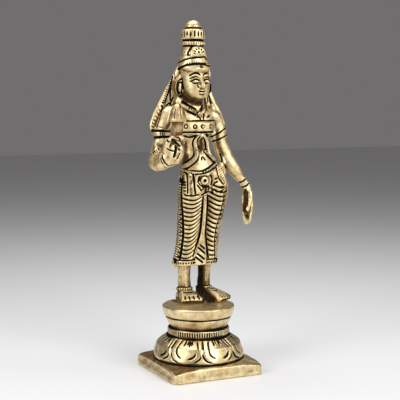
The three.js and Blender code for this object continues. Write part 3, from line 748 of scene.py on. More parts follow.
figureLow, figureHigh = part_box("figure")
figure = {
    "unitsTall": 144,
    "setBack": 7,
    "voxel": 0.27,
    "softening": 4,
    "faces": 192000,
    "hem": 19.8,
    "waist": 61,
    "foldDepth": 0.7,
    "roughness": 0.44,
    "worn": 0.66,
}
unit = (figureHigh.z - figureLow.z) / figure["unitsTall"]
figurePlace = Vector((0, figure["setBack"] * mm, plinthHigh.z - 0.05 * mm))

bodyRows = [
    (50, 5.6, 1, 9, 4),
    (54, 5.9, 0.8, 11.6, 5.8),
    (58, 6.1, 0.3, 13.2, 8.3),
    (62, 5.9, 0, 13.2, 8.9),
    (66, 5, -0.2, 12.1, 8.5),
    (70, 3.9, -0.2, 10.3, 7.6),
    (74, 3, -0.2, 8.4, 6.3),
    (79, 1.9, -0.1, 6.9, 5.3),
    (83, 1.5, 0, 7.1, 5.3),
    (86.5, 1.3, 0, 8, 5.7),
    (90, 1.2, 0, 9, 6.1),
    (94, 1.1, 0.2, 10.2, 6),
    (97.5, 1, 0.6, 11, 5.2),
    (100, 0.9, 0.9, 8.6, 4.5),
    (102, 1, 0.9, 5.8, 4.2),
    (104, 1.1, 0.6, 5, 4.3),
    (110, 1.2, 0.3, 5, 4.5),
]
rightLegRows = [
    (19.7, -5, -0.6, 5.6, 5.6),
    (30, -3.8, -0.8, 5.6, 6.1),
    (40, -2.6, -0.8, 6.1, 6.5),
    (50, -1.2, -0.6, 6.9, 7.2),
    (61, 0.8, -0.4, 7.9, 8.9),
    (67, 2, -0.2, 6.6, 6.6),
]
leftLegRows = [
    (19.3, 8.2, 0, 4.9, 5.4),
    (30, 8.8, -0.2, 4.8, 5.9),
    (40, 10, -0.4, 5.5, 6.5),
    (50, 11.6, -0.4, 6.2, 7.2),
    (61, 12, -0.4, 7.1, 8.5),
    (67, 9.6, -0.2, 5, 6.4),
]


rightBorder = [  # x, y, z, radius
    (-6.8, 0.2, 63.4, 1.2),
    (-7.2, 0.6, 58, 1.5),
    (-7.4, 0.4, 48, 1.5),
    (-7.7, -0.6, 39, 1.5),
    (-8.4, -0.8, 32.5, 1.6),
    (-9.4, 0, 25, 2),
    (-10, 0.4, 20.6, 2.3),
]
leftBorder = [
    (17.4, -3.6, 62, 0.8),
    (17.4, -4, 57.8, 0.95),
    (16.4, -4, 51.2, 1),
    (14.7, -4.3, 44.8, 1),
    (13.1, -4.4, 38.2, 1),
    (12.3, -3.9, 31.5, 1),
    (12.1, -3.4, 25, 1),
    (12.1, -3, 20.8, 1),
]


folds = (  # sag at the hem, above it and at the waist; the bearing of the lowest place is in degrees
    {"leg": rightLegRows, "top": 53.3, "pitch": 2.12, "half": 0.38,
     "lowest": -22, "sag": (0.9, 2.3, 2.3), "outer": 0.4},
    {"leg": leftLegRows, "top": 59.2, "pitch": 2.33, "half": 0.46,
     "lowest": 10, "sag": (0.5, 1.1, 1.9), "outer": 0.7},
)


def bodyAt(z):
    rows = np.array(bodyRows)
    return [np.interp(z, rows[:, 0], rows[:, column]) for column in range(1, 5)]


def torsoForms(shop):
    shop.stack(bodyRows, steps=45)
    for x in (-3, 5.2):
        shop.blob(x, -3.2, 90.3, 4.1, 3.9, 4.2)


def skirtForms(shop):
    for rows in (rightLegRows, leftLegRows):
        shop.stack(rows, steps=30)
    shop.stack([(20.4, 1.6, 1.4, 6, 3.6), (36, 3.2, 1, 6.4, 4.2), (58, 5.4, 0.6, 8, 5)])
    shop.stack([
        (19.6, 1.4, -4.7, 4.4, 1.5),
        (25, 1.9, -5, 3.5, 1.6),
        (30, 2.4, -5.3, 2.4, 1.6),
        (34.6, 2.7, -5.8, 1.4, 1.5),
        (38, 2.9, -5.8, 0.9, 1.1),
        (41, 3, -5.3, 0.5, 0.7),
    ], steps=14)
    shop.tube([
        (3.5, -7, 57, 1.1),
        (3.6, -6.6, 50, 1.1),
        (3.4, -6.3, 44, 1.1),
        (2.9, -6, 37, 1.1),
        (2.5, -5.6, 31, 0.9),
    ])
    shop.tube([(5, 7.2, 58, 1.5), (4.4, 6.8, 48, 1.5), (3.4, 6.4, 34, 1.5), (2.4, 6.2, 21, 1.5)])
    shop.tube(rightBorder, (0.5, 1, 1))
    shop.tube(leftBorder)


feet = {  # ankle, shin, and the big and small toes' tips, each x, y
    "right": {"ankle": (-2.9, 4), "shin": (-4, 1.8), "bigToe": (1.5, -5.2), "smallToe": (-6.9, -3.5)},
    "left": {"ankle": (8.2, 4), "shin": (7.9, 1.8), "bigToe": (11.8, -8), "smallToe": (18.4, -4.7)},
}


def onFoot(foot, toe, share):
    # 0 is the big toe and 1 the small one, and the share runs from the ankle to the toe's tip
    ankle, big, small = [np.array(foot[key]) for key in ("ankle", "bigToe", "smallToe")]
    x, y = ankle + (big + (small - big) * toe - ankle) * share
    return x, y, np.interp(share, [0, 0.55, 0.85, 1.1], [8.2, 5.7, 4.1, 3.2])


def feetForms(shop):
    for foot in feet.values():
        x, y = foot["ankle"]
        for toe in (0, 0.28, 0.53, 0.77, 1):
            stations = ((0, 4.8, 3.3), (0.55, 3.1, 2.5), (0.85, 2.2, 1.9), (1, 1.6, 1.7 - 0.25 * toe))
            shop.tube([(*onFoot(foot, toe, share)[:2], z, radius) for share, z, radius in stations])
        shop.blob(x - 0.6, y + 2.4, 1.8, 3, 3.2, 3.6)
        shinX, shinY = foot["shin"]
        calf = ((x + shinX) / 2, y - 1, 13, 3.2)
        shop.tube([(x, y, 3, 3.5), (x, y, 8, 3.5), calf, (shinX, shinY, 26, 3.9)])
        shop.hoop(x, y - 0.2, 6.4, 3.3, 1.1, turn=(-8, 0, 0))
    # the web cast between them
    shop.tube([(6.4, 3, 5, 3), (6.8, -1.5, 1.6, 2.9), (7.4, -5.6, 0, 2.2)])
    shop.tube([(4.4, 2, 1, 2.6), (4.8, -5, -0.2, 1.7)])
    shop.tube([(8.8, 1, 3, 2.6), (10.2, -5.4, 0.2, 2)])


budAxis = (-15.2, -15)


def rightArmForms(shop):
    shop.tube([
        (-8.5, 1, 97.8, 3.5),
        (-12.3, 0.8, 97.2, 4),
        (-15.4, -0.2, 92.4, 4.1),
        (-17.5, -1.2, 87, 3.8),
        (-19.2, -2.2, 81, 3.9),
        (-20.9, -3.2, 76, 4.2),
    ])
    shop.blob(-21.6, -5.2, 73.4, 4.7, 4.7, 4.8)
    shop.tube([(-21.5, -5, 74, 4.4), (-20.8, -8.6, 73.6, 4.5), (-20.2, -12, 75.2, 4.1)])
    armlet = [(-17.2, 89.2, 4.4), (-17.5, 88.4, 4.9), (-17.9, 86, 4.7), (-18.1, 85.2, 4.2)]
    shop.tube([(x, -1.1, z, radius) for x, z, radius in armlet], roundEnds=False)
    shop.blob(-16.9, -14.3, 79, 5.6, 3.1, 6.8, turn=(0, 14, 0))
    shop.blob(-18.9, -13.6, 75.2, 4.2, 3.1, 4.5, turn=(0, 24, 0))
    thumb = [(-21.2, -14.4, 79.6, 1.9), (-20.8, -16, 83, 1.7), (-18.8, -17, 85.4, 1.3)]
    fingertip = [(-13, -15.4, 83.2, 1.5), (-14.4, -17.8, 85.6, 1.4), (-16.8, -18.4, 85.4, 1.2)]
    for finger in (thumb, fingertip):
        shop.tube(finger)
    stem = [(82, 2.2), (86, 2.4), (90, 2.6), (92.7, 2.9), (93.5, 4.3), (94.7, 4.5)]
    stem += [(97, 3.9), (99.6, 3), (101.2, 2.1), (102.1, 0.9)]
    shop.stack([(z, *budAxis, radius, radius) for z, radius in stem], steps=40)
    shop.tube([(-15.9, -15.4, 74, 1.6), (-15.2, -15, 84, 1.8)])
    shop.tube([(-15.2, -12.4, 82, 2), (-15, -12.2, 90, 2.1), (-14.6, -11.6, 97, 1.5)])


def leftArmForms(shop):
    shop.tube([
        (9, 1, 96.6, 3.6),
        (12, 1, 95.4, 3.9),
        (14.4, 0.8, 91.4, 3.5),
        (15.4, 0.8, 87, 3.5),
        (16, 0.8, 82.4, 3.6),
        (18, 0.5, 77.5, 3.8),
        (19.8, 0, 74, 3.8),
        (21.3, -0.8, 71.2, 3.7),
        (22.8, -1.4, 68.8, 3.4),
        (24.6, -2.2, 65.8, 2.9),
        (26.4, -2.9, 63.2, 2.3),
        (28.2, -3.6, 60.8, 2.1),
        (29.4, -4, 57.6, 2.6),
    ])
    shop.tube([
        (10, 0.6, 92, 3.2),
        (12.2, 0.8, 87, 2.8),
        (13.8, 0.6, 82.4, 2.1),
        (15.4, 0, 77, 2.2),
        (17.6, -0.8, 72, 2.3),
    ])
    palm = [(29.4, -4.2, 58, 2.7), (29.6, -4.6, 54.4, 3.2), (29.4, -4.9, 50, 3.1)]
    shop.tube(palm, (1, 0.6, 1))
    fingers = [
        [(30.2, -5, 57.6, 1.2), (30.7, -5.8, 54.6, 1.25), (29.4, -6.6, 49.6, 1.15), (27.6, -6.8, 45.4, 0.9)],
        [(31.2, -4.8, 53, 1.1), (31.4, -5.2, 48.4, 1.2), (30.6, -5.6, 43.6, 1), (30, -5.6, 40.4, 0.8)],
        [(27.2, -4.6, 54, 1), (27, -4.9, 49.6, 1), (27.2, -5.2, 45, 1), (27.6, -5.4, 40.6, 0.9)],
        [(29, -4.6, 50, 1.3), (28.9, -5, 45.6, 1.3), (28.8, -5.2, 41.6, 1), (28.7, -5.3, 39.8, 0.7)],
    ]
    for finger in fingers:
        shop.tube(finger)
    armlet = [(15.1, 89.6, 3.5), (15.4, 88.8, 3.9), (16.2, 84.9, 3.9), (16.4, 84.1, 3.6)]
    shop.tube([(x, 0.8, z, radius) for x, z, radius in armlet], roundEnds=False)
    for x, y, z in ((27.2, -3.2, 62.4), (28.5, -3.7, 60.2)):
        shop.hoop(x, y, z, 2.2, 0.55, turn=(-30, 34, 0))


def headForms(shop):
    shop.stack([
        (104.6, 1.7, -3.8, 2.4, 2),
        (105.8, 1.7, -3, 4.7, 4),
        (108.4, 1.6, -1.6, 6.5, 6.2),
        (112, 1.4, -0.5, 7.3, 7.5),
        (115.5, 1.2, 0, 7.5, 8),
        (120, 0.8, 0, 7.5, 8),
        (126, 0.3, -0.4, 6.9, 7.2),
    ], steps=24)
    shop.tube([
        (1.4, -7.3, 116.2, 0.8),
        (1.6, -8.3, 113.4, 0.95),
        (1.8, -9, 111.1, 1.25),
        (1.8, -7.6, 110.2, 0.8),
    ])
    for side in (-1, 1):
        shop.blob(1.8 + side * 1.2, -7.8, 110.9, 0.8, 0.9, 0.75)
        shop.blob(1.5 + side * 3.2, -6.5, 113.6, 2.1, 1.3, 1.25)
        brow = ((0.8, -7.6, 115.4, 0.5), (3, -7.4, 116.5, 0.65), (5.4, -5.6, 115.4, 0.45))
        shop.tube([(1.5 + side * x, y, z, radius) for x, y, z, radius in brow])
        loop = [(math.cos(t), math.sin(t)) for t in np.linspace(0, 2 * math.pi, 13)]
        shop.tube([(0.8 + side * (7.9 + 1.5 * across), 0.3, 110.2 + 3.4 * up, 0.85) for across, up in loop])
        shop.tube([(0.8 + side * (7.4 + 0.4 * across), 0.2, 110.4 + 1.4 * up, 0.8) for across, up in loop])
        shop.blob(0.9 + side * 8.9, 1.6, 118.2, 1.1, 1.4, 2.8, turn=(0, side * -16, 0))
    shop.blob(1.8, -6.7, 108.75, 2.1, 1.3, 0.7)
    shop.blob(1.8, -6.5, 107.6, 1.7, 1.3, 0.8)
    shop.blob(1.75, -4.9, 105.9, 1.9, 1.6, 1.2)


crownAxis = (-0.1, -1)


def crownForms(shop):
    def turned(rows, steps=None):
        rings = [(z, *crownAxis, radius, radius) for z, radius in rows]
        shop.stack(rings, sides=48, steps=steps or len(rows) - 1)

    turned([(121, 7.3), (125.4, 6.9), (130.9, 5.4), (131.5, 6.4), (133, 6.4), (133.9, 5.1)])
    turned([(133.6, 5), (134.2, 5.9), (135.2, 6.3), (138.6, 6.3), (139.6, 5.7), (140.1, 4.4)])
    turned([(139.6, 3.9), (140.6, 4.2), (141.6, 4), (142.6, 3.3), (143.5, 2.1), (143.95, 0.7)], steps=20)
    arch = [(-7.4, 125.2, 4.6), (-7, 127.8, 4.3), (-6.4, 130.2, 2.8), (-6.1, 131.8, 1)]
    shop.tube([(-0.2, *place) for place in arch], (1, 0.32, 1), roundEnds=False)
    fillet = [(20, 0.35), (20.9, 0.9), (22.1, 0.9), (22.8, 0.35)]
    rows = [(100 + z, 0.7, -0.3, 7.6 + out, 8 + out) for z, out in fillet]
    shop.stack(rows, sides=48, steps=9)
    bpy.ops.object.mode_set(mode="EDIT")
    bpy.ops.mesh.select_all(action="SELECT")
    bpy.ops.transform.rotate(
        value=-math.radians(15), orient_axis="X", center_override=shop.sized(0.7, -0.3, 121.4))
    bpy.ops.object.mode_set(mode="OBJECT")


rightRibbon = [(-8, 3, 117.5, 1.2), (-10, 3.2, 113.4, 1.3), (-13.2, 3.2, 107.6, 1.5), (-16.5, 3, 101.2, 1.8),
               (-18.9, 2.8, 96, 2.2), (-20.8, 2.4, 91, 2.1), (-20.8, 2, 87.8, 1.2)]
leftRibbon = [(9.8, 3, 114, 1.2), (11, 3.2, 108.4, 1.3), (13.2, 3.2, 103.2, 1.4), (15.6, 2.8, 98.6, 1.5),
              (18, 2, 92.4, 1.5), (18.4, 1.6, 89.4, 1.1)]


def hairForms(shop):
    for ribbon in (rightRibbon, leftRibbon):
        shop.tube(ribbon, (1, 0.7, 1))
    shop.blob(-8.6, -2, 103.4, 1.8, 1.5, 1.9)
    shop.blob(11.3, -0.6, 99.8, 1.8, 1.6, 2.4, turn=(0, -16, 0))
    shop.blob(0.6, 6.4, 114, 4.6, 3.4, 5.4)
    shop.stack([
        (96.5, 0.2, 3.4, 14, 1.9),
        (101, -0.2, 3.6, 13.8, 2.4),
        (106, -0.4, 3.4, 12.2, 3),
        (112, -0.2, 3, 10, 4.2),
        (117, 0.6, 2.6, 8.2, 5),
    ])


def frontOf(x, z, proud=0):
    middleX, middleY, halfWidth, halfDepth = bodyAt(z)
    share = min(0.97, max(-0.97, (x - middleX) / halfWidth))
    return x, middleY - (halfDepth + proud) * math.sqrt(1 - share ** 2), z


def beltForms(shop, z, height, proud):
    rows = []
    for offset, extra in ((-0.5, proud / 3), (-0.35, proud), (0.35, proud), (0.5, proud / 3)):
        x, y, halfWidth, halfDepth = bodyAt(z + offset * height)
        rows.append((z + offset * height, x, y, halfWidth + extra, halfDepth + extra))
    shop.stack(rows, sides=48, steps=9)


rightRope = [(1.8, 86), (-0.6, 83.6), (-0.9, 80.8), (-0.4, 77.4), (-0.6, 75.8), (-2.3, 73.4), (-4.4, 71.5),
             (-6.1, 70)]
leftRope = [(3.4, 86), (5.8, 83.1), (6.4, 79.6), (6.9, 76.8), (8.6, 74.8), (10.3, 73.4)]
rightStrap = [(-3.9, 67.2), (-3.9, 63), (-3.6, 59), (-3.2, 55.8)]
leftStrap = [(12, 70), (12.8, 67.4), (13.8, 64.4), (15.2, 61.2)]
girdle = [(-6.8, 2, 69.4), (-6.4, -2.4, 68.4), (-3.9, -5.6, 67.6), (0.6, -7.9, 67.2), (4.8, -8, 68.5),
          (9, -6.4, 70.6), (12.6, -3, 71.8), (13.6, 1.4, 72), (11, 5.4, 71.4), (4, 7.4, 70.4),
          (-3.4, 5.6, 69.8), (-6.8, 2, 69.4)]
bossPlaces = (-5.8, -2, 2.3, 7.2)
hipBars = (9.8, 8.3, 6.9, 5.3)


def jewelForms(shop):
    beltForms(shop, 90.6, 5.2, 1.5)
    beltForms(shop, 86.9, 0.9, 0.7)
    for rope in (rightRope, leftRope):
        shop.tube([(*frontOf(x, z, 0.5), 1.05) for x, z in rope])
    drop = ((85.6, 1.1), (82, 1), (78.4, 0.7), (76.4, 0.3))
    shop.tube([(*frontOf(2.6, z, 0.1), radius) for z, radius in drop])
    shop.blob(*frontOf(2.6, 86.4, 0.4), 1.3)
    for x in bossPlaces:
        shop.blob(*frontOf(x, 90.6, 1.3), 0.85, 0.7, 0.85)
    for cord in (
            [(-6.6, -1.4, 101.6, 0.8), (-4.6, -3, 100, 0.9), (-1.4, -4.9, 98.2, 0.9), (0.6, -5.4, 97.2, 0.8)],
            [(7.6, -1.6, 102, 0.8), (6.4, -3, 100.4, 0.8), (4, -4.7, 98.2, 0.8), (2.4, -5.4, 97.2, 0.7)]):
        shop.tube(cord)
    shop.blob(1.5, -5.4, 96.6, 1.8, 1.1, 1.8, turn=(0, 45, 0))
    for strap, half in ((rightStrap, 1.35), (leftStrap, 1.5)):
        shop.tube([(*frontOf(x, z, 0.3), half) for x, z in strap], (1, 0.7, 1), roundEnds=False)
    shop.blob(*frontOf(2.7, 63, 0.3), 2.5, 1, 2.5)
    for side in (-1, 1):
        curl = ((1.2, 66.4), (3.2, 66.2), (4, 63.6), (3.2, 60.8), (1.6, 59.8))
        shop.tube([(*frontOf(2.7 + side * x, z, 0.1), 0.65) for x, z in curl])
    shop.tube([(*frontOf(3.3, 60, 0.3), 0.8), (*frontOf(3.6, 57.2, 0.5), 1.2)])
    shop.blob(15.3, -2.6, 70.2, 1.7, 1.6, 2.1, turn=(0, -20, 0))
    shop.tube([(16.4, -1.4, 69, 1.7), (17.4, -1.2, 66.6, 1.3)])


def figureForms():
    shop = Workshop(unit)
    torsoForms(shop)
    skirtForms(shop)
    feetForms(shop)
    rightArmForms(shop)
    leftArmForms(shop)
    headForms(shop)
    crownForms(shop)
    hairForms(shop)
    jewelForms(shop)
    print("figure formed from", len(shop.forms), "forms")
    return shop.fuse("goddess_cast", figure["voxel"], figure["softening"], figurePlace, flatFoot=True)


crownLevels = ((139.95, 0.5), (133.85, 0.5), (130.95, 0.4))
peckRows = ((126.4, 6.6), (127.9, 6.2), (129.4, 5.8))  # height and radius
archHalf = [(-5.1, 125.6), (-4.8, 127.8), (-3.2, 130.2), (-1.6, 131.4)]
diademLines = ((123, 7.9, 2.3, 0.8), (119.9, 8.2, 2.2, 1.1))  # height, radius, lift in front, width
diademTicks = ((-5.6, 122.4), (-4.6, 122.8), (-3.5, 123), (-2.4, 123.3), (-1.3, 123.4))


def around(count):
    return [i / count * 2 * math.pi for i in range(count)]


def beside(axis, radius, turn, z):
    return axis[0] + radius * math.sin(turn), axis[1] - radius * math.cos(turn), z


def ringAt(z, radius, centre=crownAxis, lift=0):
    return [beside(centre, radius, t, z + lift * math.cos(t)) for t in np.linspace(0, 2 * math.pi, 49)]


def carveCrown(carving):
    for z, half in crownLevels:
        carving.level(z, half, 0.35, crownAxis, 7.5)
    for i, t in enumerate(around(20)):
        ends = 135.3 + 0.3 * math.sin(i * 2.3), 138.4 + 0.4 * math.sin(i * 3.7)
        carving.groove(carving.onSurface([beside(crownAxis, 6.3, t, z) for z in ends]), 0.85, 0.4, 0.85)
    for t in around(32):
        tick = [beside(crownAxis, 6.4, t, z) for z in (131.6, 133)]
        carving.groove(carving.onSurface(tick), 0.65, 0.35, 0.75)
    for row, (z, radius) in enumerate(peckRows):
        for i in range(18):
            t = (i + row / 2) / 18 * 2 * math.pi
            if abs((t + math.pi) % (2 * math.pi) - math.pi) < 0.62:  # the arch is there
                continue
            peck = [beside(crownAxis, radius, t + side * 0.07, z + side * 0.5) for side in (-1, 1)]
            carving.groove(carving.onSurface(peck), 0.7, 0.3, 0.75)
    carving.darken(carving.asGiven([(-4.4, 2, 125), (-3.6, 2, 130)]), 4.6, 0.4)
    for side in (1, -1):
        carving.groove(carving.onFront([(-0.2 + side * (x + 0.2), z) for x, z in archHalf]), 0.95, 0.5)
    for angle in (22, 55, 88, 122, 150, 176):
        across, up = math.cos(math.radians(angle)), math.sin(math.radians(angle))
        carving.groove(carving.onFront([(-0.3 + r * across, 127 + r * up) for r in (1.7, 3.4)]), 0.7, 0.35)
    carving.dot((-0.4, -8.6, 127.8), 0.3, ring=0.5)
    for z, radius, lift, width in diademLines:
        carving.groove(carving.onSurface(ringAt(z, radius, (0.7, -0.4), lift)), width, 0.4, taper=0)
    for x, z in diademTicks:
        carving.groove(carving.onFront([(x - 0.2, z - 0.7), (x + 0.2, z + 0.3)]), 0.6, 0.25, 0.85)


faceLines = (  # from the middle outwards, then width, depth and darkness
    ([(1.1, 113.3), (2, 114.1), (3.3, 114.4), (4.6, 113.9), (5.8, 112.9)], 0.8, 0.4, 1),
    ([(1.4, 112.9), (2.4, 112.4), (3.6, 112.3), (4.9, 112.8)], 0.7, 0.3, 1),
    ([(1.6, 115.1), (3, 115.6), (4.4, 115.4), (5.8, 114.3)], 0.6, 0.25, 0.8),
    ([(0.8, 116.2), (2, 117.2), (3.7, 117.4), (6, 116)], 0.8, 0.35, 1),
    ([(1.9, 112), (2.15, 110.9), (1.4, 110)], 0.75, 0.3, 0.95),
)
mouthLines = (
    ([(-0.5, 108.5), (0.7, 108.3), (1.8, 108.1), (2.9, 108.3), (4.1, 108.5)], 0.75, 0.35, 1),
    ([(0.1, 107.5), (0.9, 106.8), (1.8, 106.6), (2.7, 106.8), (3.5, 107.5)], 0.65, 0.25, 1),
    ([(0.2, 109.1), (1.3, 109.5), (1.8, 109.3), (2.3, 109.5), (3.4, 109.1)], 0.6, 0.2, 0.85),
)


def carveFace(carving):
    for route, width, depth, dark in faceLines:
        for side in (-1, 1):
            carving.groove(carving.onFront([(1.5 + side * x, z) for x, z in route]), width, depth, dark)
    for route, width, depth, dark in mouthLines:
        carving.groove(carving.onFront(route), width, depth, dark)
    carving.dot((1.1, -8.6, 120.5), 0.6, ring=0.5)


hairStrands = (
    ([(-9.6, 117), (-11.4, 110.6), (-13.2, 105), (-15, 100)], 0.85),
    ([(-9.9, 105.8), (-11, 103), (-11.8, 101)], 0.8),
    ([(-6.4, 106.6), (-7, 104), (-7.6, 102)], 0.95),
    ([(9.6, 112), (10.2, 107), (11.6, 102.6), (13.4, 99)], 1.2),
    ([(7.6, 106), (8, 103), (8.6, 101)], 1),
    ([(9.2, 106), (9.6, 103.6), (9.9, 102)], 0.7),
)
# from here on, places are mostly as the viewer sees them, in mm across and above the aim
tasselTicks = (
    ([(-19.3, 48.4), (-17.7, 47)], 0.6),
    ([(-20.1, 46.7), (-18.8, 45.2)], 0.6),
    ([(-20.9, 44.9), (-19.7, 43.2)], 0.6),
    ([(-21.9, 43.2), (-20.4, 41.7)], 0.6),
    ([(-22.8, 41.5), (-21.2, 40.1)], 0.6),
    ([(-23.5, 39.9), (-21.9, 38.6)], 0.6),
    ([(-24, 38.2), (-22.6, 37.2)], 0.6),
)
ribbonLines = (
    ([(-17.6, 47.7), (-18.8, 45.2), (-19.7, 41.5), (-20.5, 39.3), (-21.1, 36.9)], 0.8),
    ([(-14.2, 57.8), (-14.2, 54.4), (-14.4, 50.5)], 0.8),
    ([(-14.4, 50.1), (-15.8, 48.8), (-17.2, 48)], 0.7),
    ([(-19.1, 48.6), (-17.1, 47.5)], 0.7),
)
ribbonEdge = [(-13.6, 62.5), (-14.9, 58.2), (-16.3, 53.9), (-17.7, 50)]


def carveHair(carving):
    for side in (-1, 1):
        turns = np.linspace(0, 2 * math.pi, 24)
        for across, up in ((0.95, 2.6), (2.5, 4.5)):  # inside and outside the earring
            ring = [(0.8 + side * (7.8 + across * math.cos(t)), -1, 110.2 + up * math.sin(t)) for t in turns]
            carving.groove(carving.onSurface(ring), 0.75, 0.4, taper=0)
    # painted shade under the chin
    underChin = [(-5.6, -3, 105), (-1, -5, 103.6), (3, -5, 103.6), (6, -3, 105)]
    carving.darken(carving.asGiven(underChin), 2.4, 0.75)
    carving.strokes(carving.onFront, hairStrands, 0.5)
    for x in np.linspace(-12, 12, 13):
        carving.groove(carving.onFront([(0.6 * x, 118), (0.8 * x, 108), (x, 98)], fromY=60), 0.6, 0.35, 0.8)
    carving.strokes(carving.onView, tasselTicks, 0.2, dark=0.8, taper=0.6)
    carving.strokes(carving.onView, ribbonLines, 0.45)
    carving.ribs(carving.onView(ribbonEdge), 1, 1.1, 0.25, dark=0.8, brown=0.6)
    carving.darken(carving.onView([(-13.4, 59), (-12.9, 55), (-12.2, 51.5)]), 2.4, 0.5)


necklaceLines = (
    ([(-8.6, 50.6), (-6.2, 49.1), (-3.7, 47.7), (-0.8, 46.2)], 1.15),
    ([(-6.2, 45.7), (-3.7, 44.8), (-1.1, 43.6)], 1.15),
    ([(2.2, 49), (1.6, 47.1), (0.6, 45.7)], 1),
    ([(3.7, 49), (4, 46.9), (3.5, 45)], 0.9),
    ([(-0.6, 43.2), (0.6, 42.2), (1.4, 40.8)], 0.7),
    ([(3.2, 44.5), (2.7, 42.7), (2.8, 40.8)], 0.75),
    ([(6.1, 43.8), (4.3, 42.2)], 0.8),
)
underBust = (
    (((-6.2, 85.8), (-3.4, 85.2), (-0.4, 86.3)), 0.9),
    (((4.2, 86.3), (6.4, 85.6), (8.8, 86.2)), 0.9),
)


def carveChest(carving):
    carving.strokes(carving.onView, necklaceLines, 0.5, taper=0.9)
    # painted shade on the neck just above the necklace
    carving.darken(carving.onView([(-7.6, 53), (-5.1, 51.2), (-2.3, 50.2), (1, 49.7)]), 2.2, 1)
    carving.ribs(carving.onFront([(-3.8, 99.7), (-0.4, 97.8)]), 0.9, 1.1, 0.25, dark=0.8)
    carving.dot((1.5, -6.8, 96.6), 1.7, proud=0.2, ring=0.4)
    carving.dot((1.5, -6.8, 96.6), 0.6, ring=0.35, dark=0.8)
    for z, width in ((93.45, 0.9), (87.75, 1)):  # the bodice band's edges
        carving.groove(carving.onFront([(x, z) for x in np.linspace(-9, 11, 14)]), width, 0.4, taper=0)
    for x in bossPlaces:
        carving.dot(frontOf(x, 90.6, 1.9), 0.95, proud=0.2, ring=0.5)
    carving.strokes(carving.onFront, underBust, 0.4)


ropeMiddles = (
    [(-1.1, 25.6), (-1.2, 23), (-2.4, 20.6), (-4.9, 18.8), (-7.2, 17.5)],
    [(4.1, 25.9), (5.4, 23.8), (7.3, 21.7), (8.7, 20.9)],
)
ropeEdges = (
    ([(-2.2, 25.9), (-2.3, 24.3), (-3, 22.4), (-4.9, 20.8), (-6.9, 19.3)], 0.75),
    ([(0.1, 25.9), (0.2, 23), (-0.8, 20.4), (-3, 18.4), (-5.6, 16.7), (-7.7, 16.3)], 0.8),
    ([(2.5, 25.9), (3.7, 24), (5.7, 21.7), (7.1, 20.3), (8.4, 19.8)], 0.85),
    ([(6.3, 25.3), (7.6, 23.5), (8.9, 22.4)], 0.6),
)
pendantLines = (
    ([(-1.1, 33), (-2.5, 30.9), (-3, 28.8), (-2.2, 26.1)], 0.75),
    ([(1.2, 33.1), (-0.4, 30.9), (-0.4, 28.4), (0.6, 26.3)], 0.85),
    ([(2.3, 32.6), (3.3, 30.3), (3.5, 27.3), (2.8, 25)], 0.7),
    ([(3.7, 34.3), (5.2, 32.7)], 0.9),
)
navel = (
    ([(1.6, 22.5), (1.6, 20.6)], 0.7),
    ([(2.5, 22.4), (3.6, 20.8)], 0.7),
)
# painted shade down the waist's side, beside the drop between the ropes and in the navel
waistShade = (
    ([(-6.9, 24), (-6.2, 21.7), (-7.5, 19.8)], 2.2, 0.9),
    ([(1.6, 32), (1.7, 29.2), (1.7, 25.9)], 1.1, 0.9),
    ([(2.1, 22.2), (2.6, 21.4)], 0.9, 0.7),
    ([(-7.4, 30.3), (-7, 25.9), (-7.4, 21.1)], 2.2, 0.6),
)
girdleEdges = (
    ([(-4.1, 15.6), (-1.7, 15.3), (1.2, 15.2), (3.7, 16.1), (5.7, 17.5), (7.1, 18.8), (8.1, 19.9)], 0.8),
    ([(-2.2, 13.7), (0.5, 13.7), (3.1, 14.2), (5.7, 15.3), (8.6, 16.9)], 0.65),
)


def carveWaist(carving):
    for middle in ropeMiddles:
        carving.ribs(carving.onView(middle), 1, 0.9, 0.25, dark=0.7, slant=0.5, share=0.6, brown=0.5)
    carving.strokes(carving.onView, ropeEdges, 0.45)
    carving.strokes(carving.onView, pendantLines, 0.4)
    carving.strokes(carving.onView, navel, 0.4, taper=0.2)
    # painted shade at the waist and navel
    carving.stains(carving.onView, waistShade)
    carving.band(carving.onSurface(girdle), 0.55, 0.5, pitch=1.1, ribDepth=0.2, edged=0.4, dark=0.6)
    carving.strokes(carving.onView, girdleEdges, 0.45, taper=0.8)


